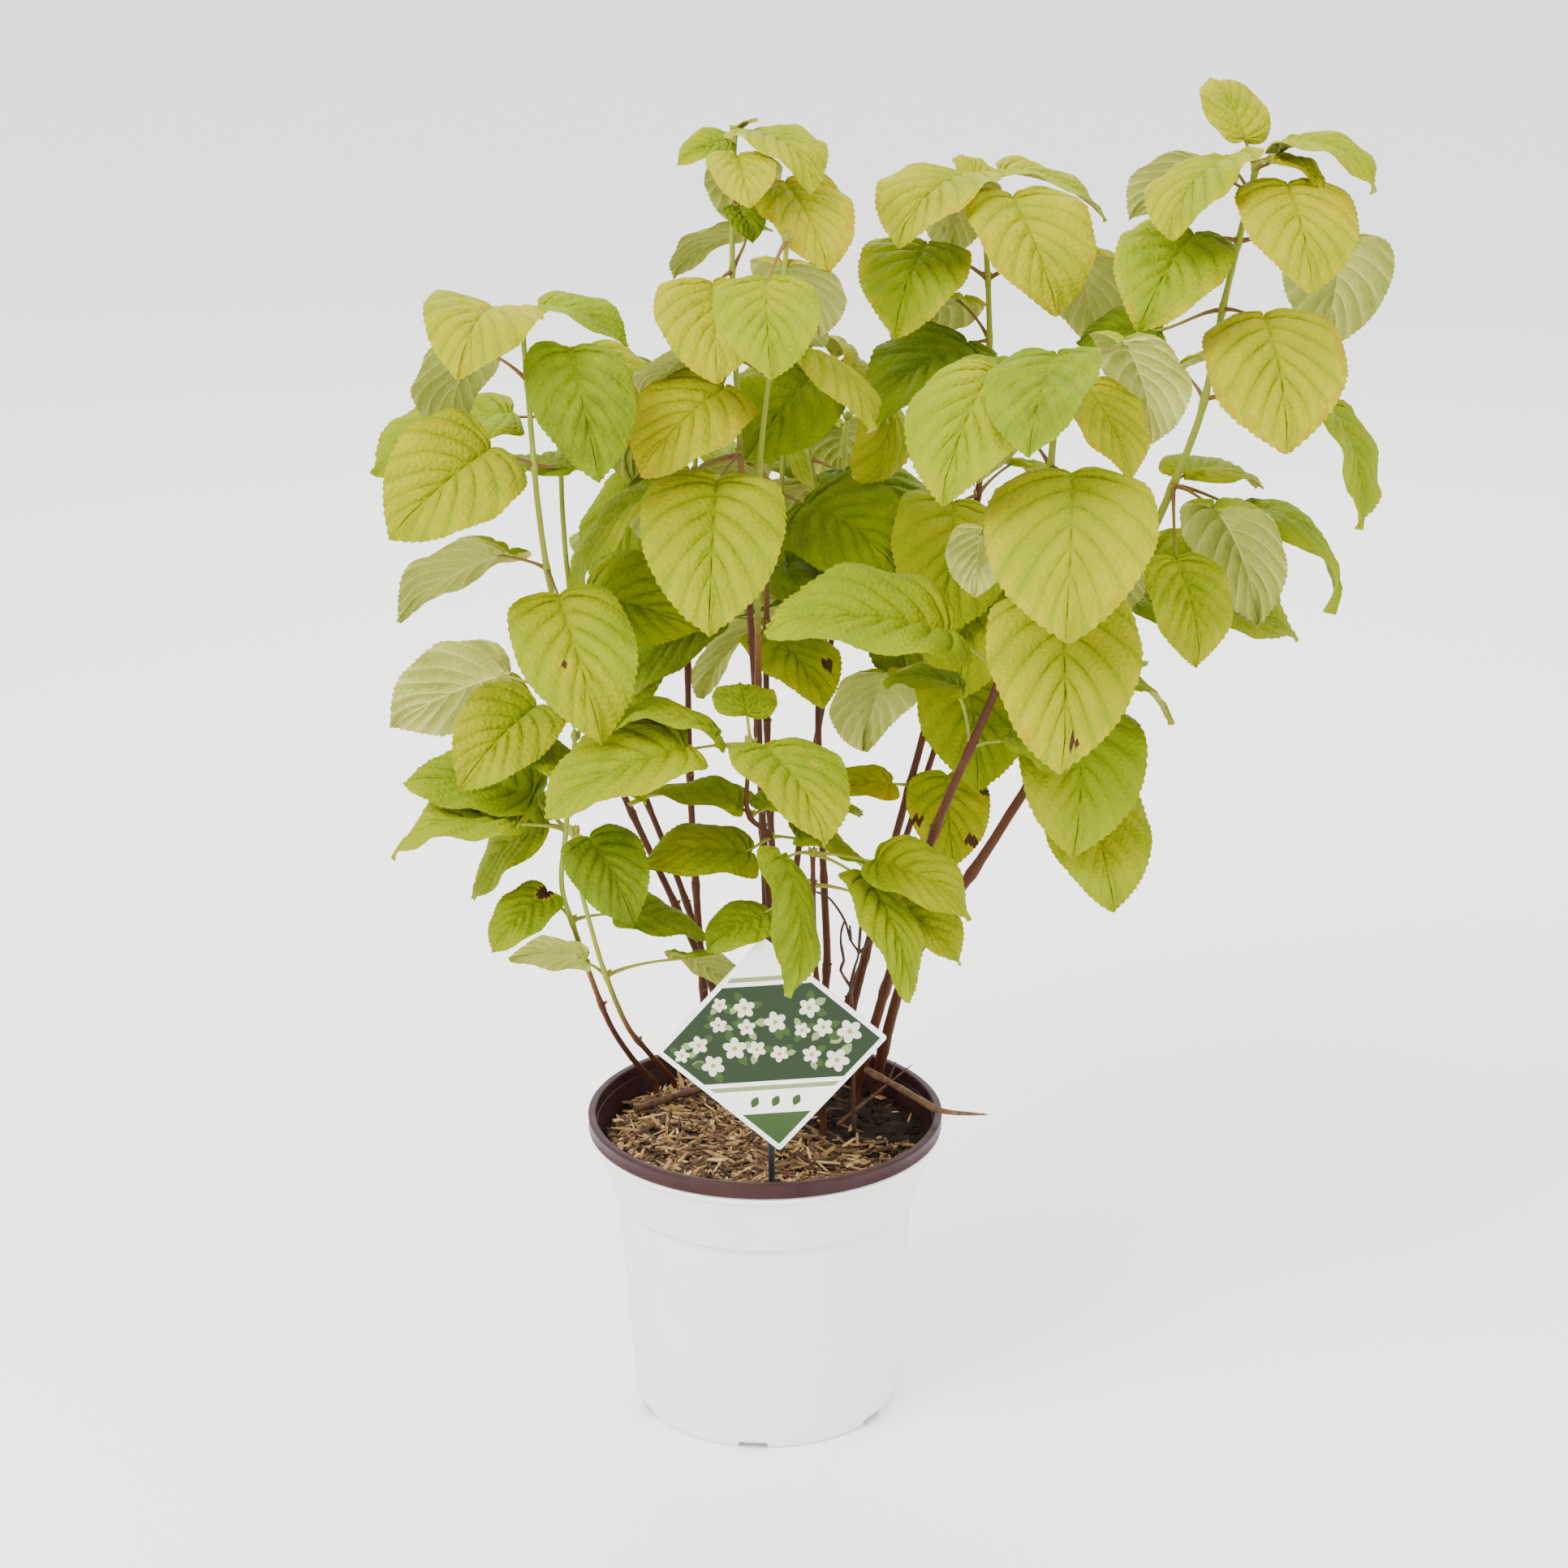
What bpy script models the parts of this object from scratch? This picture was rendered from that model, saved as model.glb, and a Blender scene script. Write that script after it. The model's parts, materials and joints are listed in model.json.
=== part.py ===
"""Potted shrub with large heart-shaped leaves, in a two-colour nursery pot with a picture tag.

Frame: metres, Z up, front of the pot towards -Y, origin at the bottom centre of the pot.
All sizes below are in millimetres and are scaled by MM when the meshes are made.
"""
import math
import random

import bmesh
import bpy
from mathutils import Matrix, Vector
from mathutils.bvhtree import BVHTree

MM = 0.001
WELD = 1e-6                    # merge distance, metres
PARTS = "potted_shrub"
SEED = 41
GAP = 0.3                      # clearance between solids that touch on the real thing

# Pot
POT_HEIGHT = 202.0
RIM_RADIUS = 115.0             # brown rim band, outside
RIM_DEPTH = 10.0
COLLAR_TOP_RADIUS = 112.8
COLLAR_FOOT_RADIUS = 98.5
COLLAR_FOOT_Z = 148.5
BODY_TOP_RADIUS = 96.0
BODY_FOOT_RADIUS = 86.6
FOOT_RADIUS = 84.0
POT_WALL = 2.0
BASE_THICK = 3.0
LINING_WALL = 1.6
LINING_FOOT_Z = 105.0
BODY_ROOM = 0.66               # room round the lining below the collar, and in the collar
COLLAR_ROOM = 0.36
POT_SIDES = 36
STEP_HALF = 1.0                # half height of the step under the collar
LIP_SWELL = 0.4                # the white lip: swell, drop to it, neck below it and its depth
LIP_DROP = 2.0
LIP_NECK = 1.4
LIP_DEPTH = 4.0
FOOT_BEVEL = 2.0
FOOT_TOP = 8.0
RIM_ROUND = 1.0
SLOT_COUNT = 6
SLOT_WIDTH = 19.0
SLOT_HEIGHT = 5.0
SLOT_DEPTH = 5.0
SLOT_TURN = -95.2              # bearing of the slot nearest the front, degrees

# Soil
SOIL_TOP = 184.0
SOIL_EDGE_Z = 180.0
SOIL_FLAT_RADIUS = 99.0
SOIL_FOOT_RADIUS = 80.0
SOIL_ROOM = 0.36               # room between soil and lining
SOIL_BEVEL = 6.0

# Tag
TAG_SIDE = 102.0
TAG_THICK = 1.2
TAG_CENTRE = (4.5, -86.0, 284.0)
TAG_TURN = 4.0                 # degrees that the tag leans to its left, seen from the front
STICK_WIDTH = 4.0
STICK_THICK = 2.4
STICK_REACH = 44.0             # how far the stick runs up behind the plate's centre

# Leaf shape, as shares of the leaf's length: place along it and half width
BLADE_SECTIONS = ((0.10, 0.26, -0.05), (0.32, 0.385, 0.25), (0.60, 0.35, 0.57), (0.83, 0.205, 0.82))
BLADE_HALF_THICK = 0.9
BLADE_CUP = 7.0                # degrees that each half is lifted from the midrib
BLADE_ARCH = 34.0              # degrees the midrib bends from base to tip
STALK_RADIUS = 1.3
STALK_SINK = 0.8               # how far a stalk's root runs past the middle of its stem
NECK_FLAT = 0.9                # stalk's section where the blade starts, as shares of its radius
NECK_WIDE = 1.2
LEAST_ACROSS = 0.35            # a stalk closer than this to the blade's own side takes its up axis
LEAST_AHEAD = 0.4
CROWN_HALF_WIDTH = 395.0
CROWN_HALF_DEPTH = 330.0
CROWN_FLOOR = 196.0
CROWN_TOP = 874.0
TRIES = ((0, 0), (8, 0), (-8, 0), (0, 8), (0, -8), (14, 6), (-14, 6), (14, -6), (-14, -6),
         (22, 0), (-22, 0), (0, 18), (22, 14), (-22, 14), (32, 0), (-32, 0), (32, 16), (-32, 16),
         (45, 8), (-45, 8), (60, 10), (-60, 10))

# Each cane: foot on the soil (x, y), the places it passes (x, y, z), foot and tip radius,
# height where its leafy mass starts
CANE_STEP = 44.0               # spacing of the stations along a cane
CANE_RISE = 8.0                # a cane's foot stands upright for this far
SHELL_SIDES = 6
CANES = {
    "left_low_a": ((-73, 60), ((-100, 15, 253), (-126, -45, 374), (-122, -55, 414), (-115, -60, 475)),
                   2.0, 1.5, 325),
    "left_low_b": ((-61, 64), ((-89, -5, 263), (-101, -35, 312), (-113, -64, 380), (-116, -74, 418)),
                   1.9, 1.4, 286),
    "left_tall": ((-5, 56), ((-49, 30, 311), (-104, -8, 461), (-132, -25, 572), (-143, -30, 722)),
                  2.6, 1.6, 440),
    "left_back": ((-20, 80), ((-51, 60, 320), (-94, 72, 434), (-125, 80, 533), (-130, 80, 676)),
                  2.4, 1.5, 372),
    "centre_tall": ((4, 50), ((-2, 30, 400), (-14, 20, 621), (-19, 20, 747), (-17, 20, 830)),
                    2.8, 1.5, 500),
    "centre_front": ((16, 30), ((-2, 0, 420), (-2, -12, 639), (10, -32, 726), (14, -42, 776)),
                     2.6, 1.5, 560),
    "centre_back": ((14, 74), ((2, 95, 400), (2, 100, 537), (10, 100, 587), (14, 100, 648)),
                    2.8, 1.6, 470),
    "mid_back": ((34, 78), ((41, 88, 270), (39, 93, 320), (35, 100, 448), (44, 135, 530), (32, 140, 587),
                            (23, 140, 638)), 2.8, 1.6, 480),
    "right_mid": ((48, 80), ((83, 60, 360), (110, 70, 465), (134, 80, 579), (141, 80, 693), (134, 80, 788)),
                  3.0, 1.6, 388),
    "right_front": ((60, 52), ((84, 0, 310), (107, -45, 414), (142, -75, 518), (163, -90, 600),
                               (171, -90, 706)), 3.6, 1.9, 430),
    "right_tall": ((74, 62), ((92, 30, 286), (134, 0, 369), (197, 0, 482), (232, 0, 572), (264, 0, 658),
                              (276, 0, 727), (292, 0, 810)), 3.8, 1.8, 412),
    "front_low_a": ((38, 6), ((34, -35, 285), (31, -50, 346), (30, -60, 400)), 2.2, 1.5, 352),
    "front_low_b": ((8, 4), ((6, -30, 330), (4, -40, 404), (-10, -60, 428), (-8, -76, 476)),
                    2.2, 1.4, 366),
    "rear_left": ((-38, 82), ((-50, 146, 350), (-52, 178, 480), (-44, 190, 634)), 2.8, 1.6, 470),
    "rear_mid": ((4, 90), ((24, 150, 340), (44, 186, 460), (54, 200, 614)), 2.6, 1.6, 450),
    "rear_right": ((40, 82), ((98, 140, 350), (138, 166, 480), (154, 176, 566)), 2.8, 1.6, 448),
}

# Leaf pairs seen in the picture: cane, then node height and its leaves.
# A leaf is (stalk x, y, z, blade length, bearing, droop, roll, arch, share of the usual width),
# the last three optional.
# Bearing 0 points to +X and -90 to the front; a positive roll turns the face to the front
# on a leaf that points left.
LEAVES = {
    "left_low_a": (
        (452, ((-4, -2, 2, 46, 152, -18, 0),)),
        (414, ((-28, -12, 9, 90, 172, 14, 4, 50), (-20, 12, 18, 86, 168, -4, 20),
               (-12, 18, 0, 84, 154, 44, 34))),
        (345, ((-14, -12, 24, 54, -140, 34, 20, 34, 0.86), (27, 6, 4, 70, 18, 22, -16, 44))),
    ),
    "left_low_b": (
        (418, ((10, -10, 2, 68, -54, 34, -20, 34, 0.9),)),
        (308, ((-12, -5, 14, 50, 178, 2, -50), (50, 6, 12, 60, 40, 44, 20))),
    ),
    "left_tall": (
        (722, ((-14, -10, 12, 86, -104, 16, 6, 76), (10, 10, 10, 60, -8, 20, 0, 44))),
        (690, ((-28, 4, 22, 78, 130, 58, 0), (27, -16, 22, 92, -76, 46, 0, 34, 0.86))),
        (637, ((-25, -10, 14, 94, -132, 24, 38), (22, 14, -6, 84, 120, 10, 0))),
        (572, ((-23, 6, 9, 88, 168, 33, -30), (8, -18, -12, 104, -68, 44, -14, 34, 0.84))),
        (474, ((-50, 12, 24, 90, 172, 27, -66), (-32, -18, 12, 82, -130, 24, 26, 34, 0.88))),
    ),
    "left_back": (
        (676, ((60, -2, 2, 90, 128, 70, 0),)),
        (640, ((-30, -10, 6, 98, -166, 18, 8),)),
        (533, ((12, -8, -4, 88, -32, 8, -48),)),
    ),
    "centre_tall": (
        (830, ((9, -3, 0, 70, -50, 22, 0, 64), (-4, -2, -4, 36, -162, 18, 30), (4, 0, 3, 14, -40, -24, 0))),
        (806, ((8, 8, 4, 62, 98, 46, 0),)),
        (788, ((31, -12, 14, 74, -64, 36, 0), (3, -6, -2, 30, -66, 34, 0))),
        (746, ((-12, -14, -4, 86, -86, 30, 0), (12, 26, 22, 70, 150, 30, -16))),
        (700, ((-6, -22, -20, 84, -135, 30, 20),)),
        (632, ((-14, -48, -4, 108, -92, 44, 0), (-46, 4, -18, 104, 182, 47, 0),
               (-40, 28, -18, 80, 138, 46, -18))),
    ),
    "centre_front": (
        (776, ((-2, 8, -14, 70, 62, 50, 0), (-12, -20, -19, 76, -90, 36, 0))),
        (690, ((14, -10, 20, 82, -46, 28, 20, 60),)),
    ),
    "centre_back": (
        (648, ((16, -10, 18, 86, -124, 24, 28),)),
        (587, ((15, -14, -3, 96, -44, 14, -28),)),
        (540, ((12, -6, 2, 104, -14, 0, -14),)),
        (500, ((-4, -24, 2, 78, -76, 16, 0), (-32, 4, 7, 84, 180, 40, 20))),
    ),
    "mid_back": (
        (638, ((30, -4, 34, 112, -76, 44, 58, 70),)),
        (600, ((20, -14, -6, 96, -46, 27, 3),)),
    ),
    "right_mid": (
        (788, ((1, 2, 2, 32, 120, -28, 0), (12, 12, 7, 76, -10, 22, 0, 44))),
        (772, ((-12, -6, 22, 86, -126, 22, 0, 56), (16, -28, 14, 90, -72, 42, 0),
               (-8, 12, 16, 62, 112, 58, 0))),
        (730, ((-38, -12, 24, 86, -112, 28, 8), (58, 16, 16, 78, 74, 60, 0))),
        (691, ((-16, 8, 26, 68, 138, 38, -18), (-14, -4, 0, 90, -146, 24, 18))),
        (591, ((-18, -12, 0, 100, -106, 47, 28),)),
        (545, ((8, -14, 6, 98, -106, 47, 0),)),
        (484, ((-36, 8, -10, 82, 104, 56, 0), (14, -10, -2, 88, -88, 46, 18))),
        (402, ((-12, -12, 6, 62, -170, 4, 12), (23, 8, 8, 70, -70, 40, 0))),
    ),
    "right_front": (
        (704, ((-38, -8, 8, 98, -118, 42, 0), (-2, -15, 18, 82, -108, 34, -10), (38, 6, 22, 82, 52, 60, 0))),
        (676, ((20, 26, 20, 70, -62, 44, 0), (-24, 20, 26, 60, 150, 10, 0))),
        (652, ((13, -20, 2, 118, -84, 40, 0),)),
        (612, ((-34, 30, -4, 50, 100, 74, 0),)),
        (586, ((13, -22, -6, 118, -87, 45, 0),)),
        (520, ((-32, -15, 32, 118, -161, -6, 24),)),
        (470, ((-6, -10, 40, 50, 174, -8, 0),)),
    ),
    "right_tall": (
        (810, ((-6, 5, 18, 54, 116, -38, 0), (13, -4, 14, 72, -26, 16, 0, 72),
               (3, -6, 6, 46, -35, 14, 0, 50))),
        (796, ((-12, -8, 22, 82, -130, 28, -16, 50), (19, -22, 10, 88, -84, 35, 0),
               (-24, 14, 10, 70, 168, 28, -30))),
        (768, ((-28, -9, 6, 90, -120, 28, 12), (64, 10, -2, 84, 86, 62, 0))),
        (727, ((22, -20, 0, 106, -82, 37, 0), (-34, 22, -18, 54, 178, 4, 40))),
        (672, ((72, -4, 0, 88, -66, 52, 35),)),
        (618, ((22, -30, -4, 94, 30, 62, 30, 34, 0.85), (8, 18, 4, 76, 38, 14, 0),
               (45, 12, -18, 104, -4, 46, -5, 100, 0.72), (-2, -44, -34, 70, -62, 60, 0))),
        (548, ((8, 24, -2, 116, 2, 18, -24),)),
        (478, ((0, -26, 0, 96, -90, 48, 0),)),
        (430, ((32, -16, -4, 88, -82, 38, 0),)),
    ),
    "front_low_a": (
        (400, ((-20, -34, 12, 94, -80, 48, 56, 34, 0.74), (31, -15, -8, 92, -66, 40, 22, 34, 0.76),
               (38, -16, 2, 72, -14, 24, -22))),
        (378, ((42, -2, -8, 66, -20, 34, -4), (-28, -8, -14, 48, -150, 22, 14))),
    ),
    "front_low_b": (
        (476, ((-38, -10, 2, 98, -161, 20, 18), (10, -16, 4, 86, -62, 25, 0), (-2, 18, 14, 50, 96, -6, 0))),
        (462, ((-20, 4, 16, 76, 194, -6, 0, 56), (6, -2, 10, 44, -20, 8, 0))),
        (424, ((-6, 8, 4, 76, 166, 2, 0), (4, 10, 4, 74, 60, 12, 0))),
        (404, ((-12, -12, -6, 74, -168, -2, 14), (12, -10, 0, 66, -34, 24, 0))),
    ),
}

# Canes that only the growing rule fills: lowest node, highest node and bearing of the first pair
RULE_CANES = {"rear_left": (492, 628, 52), "rear_mid": (474, 608, -6), "rear_right": (470, 556, 40)}
RULE_SPACING = 40.0
RULE_LENGTH = (74.0, 104.0)
RULE_DROOP = (14.0, 52.0)
RULE_STALK = (26.0, 40.0)
RULE_RISE = (14.0, 34.0)       # degrees that a stalk of the rule climbs
RULE_SWING = 16.0
RULE_ROLL = 14.0

# A leaf's hidden mate across the node: size as a share of the leaf's, least size, and how it hangs
MATE_SHARE = 0.86
MATE_LEAST = 40.0
MATE_SWING = 24.0
MATE_RISE = 24.0
MATE_DROOP = (20.0, 48.0)
MATE_ROOM = 12.0               # no mate grows this close above the foot of a mass
FALLEN_MATES = (("left_back", 533), ("mid_back", 600), ("right_front", 612))

# Old wood: name, places (x, y, height above the soil), foot and tip radius
STUB_STEP = 30.0
STUBS = {
    "pruned_branch": (((66.75, 39.4, 27.6), (84, 14, 28.4), (100, -9, 28), (114, -22, 26), (137, -27, 26)),
                      2.6, 0.9),
    "lying_stub": (((-86, 26, 3.0), (-66, 39, 4.4), (-43, 52, 6.0)), 2.6, 2.3),
    "thin_spur": (((47, 9, 1.8), (62, 18, 11), (92, 34, 30)), 1.6, 0.9),
    "old_twig": (((58, 2, 0.6), (55, -4, 116), (50, -10, 146), (60, -8, 174)), 1.6, 1.0),
}


def material(name, colour, roughness):
    mat = bpy.data.materials.new(name)
    mat.use_nodes = True
    shader = mat.node_tree.nodes["Principled BSDF"]
    shader.inputs["Base Color"].default_value = (*colour, 1.0)
    shader.inputs["Roughness"].default_value = roughness
    return mat


def collection(name):
    """Collection of that name, made when it is first asked for."""
    if name not in bpy.data.collections:
        group = bpy.data.collections.new(name)
        bpy.context.scene.collection.children.link(group)
    return bpy.data.collections[name]


def new_object(name, mesh, mat, group):
    mesh.materials.append(mat)
    obj = bpy.data.objects.new(name, mesh)
    collection(group).objects.link(obj)
    return obj


def object_from(name, verts, faces, mat, group=PARTS):
    mesh = bpy.data.meshes.new(name)
    mesh.from_pydata([Vector(v) * MM for v in verts], [], faces)
    mesh.update()
    return new_object(name, mesh, mat, group)


def box_bmesh(centre, size, rotation):
    """Box in millimetres, turned and then moved to its centre."""
    bm = bmesh.new()
    place = Matrix.Translation(centre) @ rotation @ Matrix.Diagonal((*size, 1.0))
    bmesh.ops.create_cube(bm, size=1.0, matrix=place)
    return bm


def box(name, shape, mat, group=PARTS):
    bm = box_bmesh(*shape)
    bmesh.ops.scale(bm, vec=(MM, MM, MM), verts=bm.verts)
    mesh = bpy.data.meshes.new(name)
    bm.to_mesh(mesh)
    bm.free()
    return new_object(name, mesh, mat, group)


def apply_modifiers(obj):
    graph = bpy.context.evaluated_depsgraph_get()
    mesh = bpy.data.meshes.new_from_object(obj.evaluated_get(graph))
    obj.modifiers.clear()
    old = obj.data
    obj.data = mesh
    mesh.name = obj.name
    bpy.data.meshes.remove(old)


def turned(name, profile, mat):
    """Solid of revolution from (radius, height) pairs that run down the outside."""
    verts = [Vector((r, 0.0, z)) * MM for r, z in profile]
    edges = [(i, i + 1) for i in range(len(verts) - 1)]
    if profile[0][0] > 0:
        edges.append((len(verts) - 1, 0))
    mesh = bpy.data.meshes.new(name)
    mesh.from_pydata(verts, edges, [])
    obj = new_object(name, mesh, mat, PARTS)
    screw = obj.modifiers.new("turn", "SCREW")
    screw.steps = POT_SIDES
    screw.render_steps = POT_SIDES
    screw.use_merge_vertices = True
    screw.merge_threshold = WELD
    screw.use_normal_calculate = True
    apply_modifiers(obj)
    face_outwards(obj)
    return obj


def face_outwards(obj):
    bm = bmesh.new()
    bm.from_mesh(obj.data)
    bmesh.ops.remove_doubles(bm, verts=bm.verts, dist=WELD)
    bmesh.ops.recalc_face_normals(bm, faces=bm.faces)
    if bm.calc_volume(signed=True) < 0:
        bmesh.ops.reverse_faces(bm, faces=bm.faces)
    bm.to_mesh(obj.data)
    bm.free()


def wall_radius(z):
    """Inside radius of the pot's wall at a height."""
    if z >= COLLAR_FOOT_Z:
        share = (z - COLLAR_FOOT_Z) / (POT_HEIGHT - RIM_DEPTH - COLLAR_FOOT_Z)
        return COLLAR_FOOT_RADIUS + (COLLAR_TOP_RADIUS - COLLAR_FOOT_RADIUS) * share - POT_WALL
    share = z / COLLAR_FOOT_Z
    return BODY_FOOT_RADIUS + (BODY_TOP_RADIUS - BODY_FOOT_RADIUS) * share - POT_WALL


def lining_radius(z):
    """Outside radius of the lining at a height."""
    return wall_radius(z) - (BODY_ROOM if z < COLLAR_FOOT_Z else COLLAR_ROOM)


def soil_radius(z):
    return lining_radius(z) - LINING_WALL - SOIL_ROOM


def make_pot():
    lip_z = POT_HEIGHT - RIM_DEPTH - GAP
    step_top, step_foot = COLLAR_FOOT_Z + STEP_HALF, COLLAR_FOOT_Z - STEP_HALF
    outside = [
        (COLLAR_TOP_RADIUS, lip_z), (COLLAR_TOP_RADIUS + LIP_SWELL, lip_z - LIP_DROP),
        (COLLAR_TOP_RADIUS - LIP_NECK, lip_z - LIP_DEPTH), (COLLAR_FOOT_RADIUS + GAP, step_top),
        (COLLAR_FOOT_RADIUS, COLLAR_FOOT_Z), (BODY_TOP_RADIUS, step_foot), (BODY_FOOT_RADIUS, FOOT_TOP),
        (FOOT_RADIUS + FOOT_BEVEL / 2, FOOT_BEVEL), (FOOT_RADIUS, 0), (0, 0),
    ]
    inside = [
        (0, BASE_THICK), (wall_radius(FOOT_TOP) - POT_WALL, BASE_THICK), (wall_radius(FOOT_TOP), FOOT_TOP),
        (BODY_TOP_RADIUS - POT_WALL, step_foot), (wall_radius(step_top), step_top),
        (wall_radius(lip_z - LIP_DEPTH), lip_z - LIP_DEPTH), (wall_radius(lip_z), lip_z),
    ]
    pot = turned("pot", outside + inside, MATERIALS["pot"])
    for index in range(SLOT_COUNT):
        bearing = math.radians(SLOT_TURN + index * 360.0 / SLOT_COUNT)
        centre = (FOOT_RADIUS * math.cos(bearing), FOOT_RADIUS * math.sin(bearing), 0)
        size = (SLOT_DEPTH * 2, SLOT_WIDTH, SLOT_HEIGHT * 2)
        box("slot_%d" % index, (centre, size, Matrix.Rotation(bearing, 4, "Z")), MATERIALS["pot"], "slots")
    combine(pot, "DIFFERENCE", "slots", "EXACT")


def combine(obj, operation, group, solver):
    """Boolean with every object of a collection, which is then removed."""
    change = obj.modifiers.new(group, "BOOLEAN")
    change.operation = operation
    change.operand_type = "COLLECTION"
    change.collection = collection(group)
    change.solver = solver
    apply_modifiers(obj)
    for other in list(collection(group).objects):
        bpy.data.objects.remove(other)
    bpy.data.collections.remove(collection(group))


def make_lining():
    band_foot = POT_HEIGHT - RIM_DEPTH
    step_top, step_foot = COLLAR_FOOT_Z + STEP_HALF, COLLAR_FOOT_Z - STEP_HALF
    outer = [(RIM_RADIUS - RIM_ROUND, POT_HEIGHT), (RIM_RADIUS, POT_HEIGHT - RIM_ROUND),
             (RIM_RADIUS, band_foot + RIM_ROUND), (RIM_RADIUS - RIM_ROUND, band_foot)]
    outer += [(lining_radius(z), z) for z in (band_foot, step_top, step_foot, LINING_FOOT_Z)]
    inner = [(lining_radius(z) - LINING_WALL, z) for z in (LINING_FOOT_Z, step_foot, step_top, band_foot)]
    mouth = inner[-1][0]
    inner += [(mouth, POT_HEIGHT - LIP_DEPTH), (mouth + LIP_SWELL, POT_HEIGHT)]
    return turned("pot_lining", outer + inner, MATERIALS["lining"])


def make_soil():
    profile = [(0, SOIL_TOP), (SOIL_FLAT_RADIUS, SOIL_TOP)]
    for z in (SOIL_EDGE_Z, COLLAR_FOOT_Z + STEP_HALF, COLLAR_FOOT_Z - STEP_HALF, LINING_FOOT_Z):
        profile.append((soil_radius(z), z))
    foot = BASE_THICK + GAP
    profile += [(SOIL_FOOT_RADIUS, foot + SOIL_BEVEL), (SOIL_FOOT_RADIUS - FOOT_BEVEL, foot), (0, foot)]
    return turned("soil", profile, MATERIALS["soil"])


def tag_box():
    """Centre, size and turn of the square plate that stands on one corner."""
    turn = Matrix.Rotation(math.radians(45 - TAG_TURN), 4, "Y")
    return TAG_CENTRE, (TAG_SIDE, TAG_THICK, TAG_SIDE), turn


def stick_box():
    x, y, z = TAG_CENTRE
    foot = SOIL_TOP + GAP
    top = z + STICK_REACH
    centre = (x, y + TAG_THICK / 2 + GAP + STICK_THICK / 2, (foot + top) / 2)
    return centre, (STICK_WIDTH, STICK_THICK, top - foot), Matrix.Identity(4)


def make_tag():
    box("tag", tag_box(), MATERIALS["tag"])
    box("tag_stick", stick_box(), MATERIALS["stick"])


def smooth_path(points, step):
    """Catmull-Rom curve through the points, in roughly equal steps."""
    pts = [Vector(p) for p in points]
    pts = [pts[0] * 2 - pts[1]] + pts + [pts[-1] * 2 - pts[-2]]
    path = []
    for i in range(1, len(pts) - 2):
        a, b, c, d = pts[i - 1:i + 3]
        count = max(1, round((c - b).length / step))
        for k in range(count):
            t = k / count
            path.append(0.5 * ((2 * b) + (c - a) * t + (2 * a - 5 * b + 4 * c - d) * t * t
                               + (3 * b - a - 3 * c + d) * t ** 3))
    path.append(pts[-2])
    return path


def cane_path(name):
    foot, places, foot_radius, tip_radius, leafy = CANES[name]
    start = Vector((*foot, SOIL_TOP + GAP))
    path = [start] + smooth_path((start + Vector((0, 0, CANE_RISE)),) + places, CANE_STEP)
    low, high = path[0].z, path[-1].z
    return [(p, foot_radius + (tip_radius - foot_radius) * (p.z - low) / (high - low)) for p in path]


def split_at(path, z):
    """Point and radius where the path passes a height."""
    for (a, ra), (b, rb) in zip(path, path[1:]):
        if a.z <= z <= b.z:
            t = (z - a.z) / (b.z - a.z)
            return a.lerp(b, t), ra + (rb - ra) * t
    return path[-1]


def tube(name, stations, mat):
    """Tapering limb: a curve with a bevel and filled ends, made a mesh and welded."""
    curve = bpy.data.curves.new(name, "CURVE")
    curve.dimensions = "3D"
    curve.bevel_depth = MM
    curve.bevel_resolution = 1
    curve.use_fill_caps = True
    spline = curve.splines.new("POLY")
    spline.points.add(len(stations) - 1)
    for point, (place, radius) in zip(spline.points, stations):
        point.co = (*(place * MM), 1.0)
        point.radius = radius
    guide = bpy.data.objects.new(name + "_curve", curve)
    collection(PARTS).objects.link(guide)
    graph = bpy.context.evaluated_depsgraph_get()
    mesh = bpy.data.meshes.new_from_object(guide.evaluated_get(graph))
    bpy.data.objects.remove(guide)
    mesh.name = name
    mesh.materials.clear()
    obj = new_object(name, mesh, mat, PARTS)
    face_outwards(obj)
    return obj


def direction(bearing, droop):
    b, d = math.radians(bearing), math.radians(droop)
    return Vector((math.cos(b) * math.cos(d), math.sin(b) * math.cos(d), -math.sin(d)))


def blade_frames(base, length, bearing, droop, roll, arch):
    """Places, headings and sideways axes along the midrib, rolled about its chord."""
    shares = [0.0] + [s[0] for s in BLADE_SECTIONS] + [1.0]
    chord = direction(bearing, droop)
    side = Vector((-math.sin(math.radians(bearing)), math.cos(math.radians(bearing)), 0))
    normal = chord.cross(side)
    r = math.radians(roll)
    axis_side = side * math.cos(r) - normal * math.sin(r)
    axis_normal = normal * math.cos(r) + side * math.sin(r)
    frames = []
    place = Vector(base)
    last = 0.0
    for share in shares:
        middle = (share + last) / 2
        angle = math.radians(arch * (middle - 0.5))
        heading = chord * math.cos(angle) - axis_normal * math.sin(angle)
        place = place + heading * length * (share - last)
        last = share
        at = math.radians(arch * (share - 0.5))
        up = axis_normal * math.cos(at) + chord * math.sin(at)
        frames.append((place, up, axis_side, chord * math.cos(at) - axis_normal * math.sin(at)))
    return frames


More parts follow.
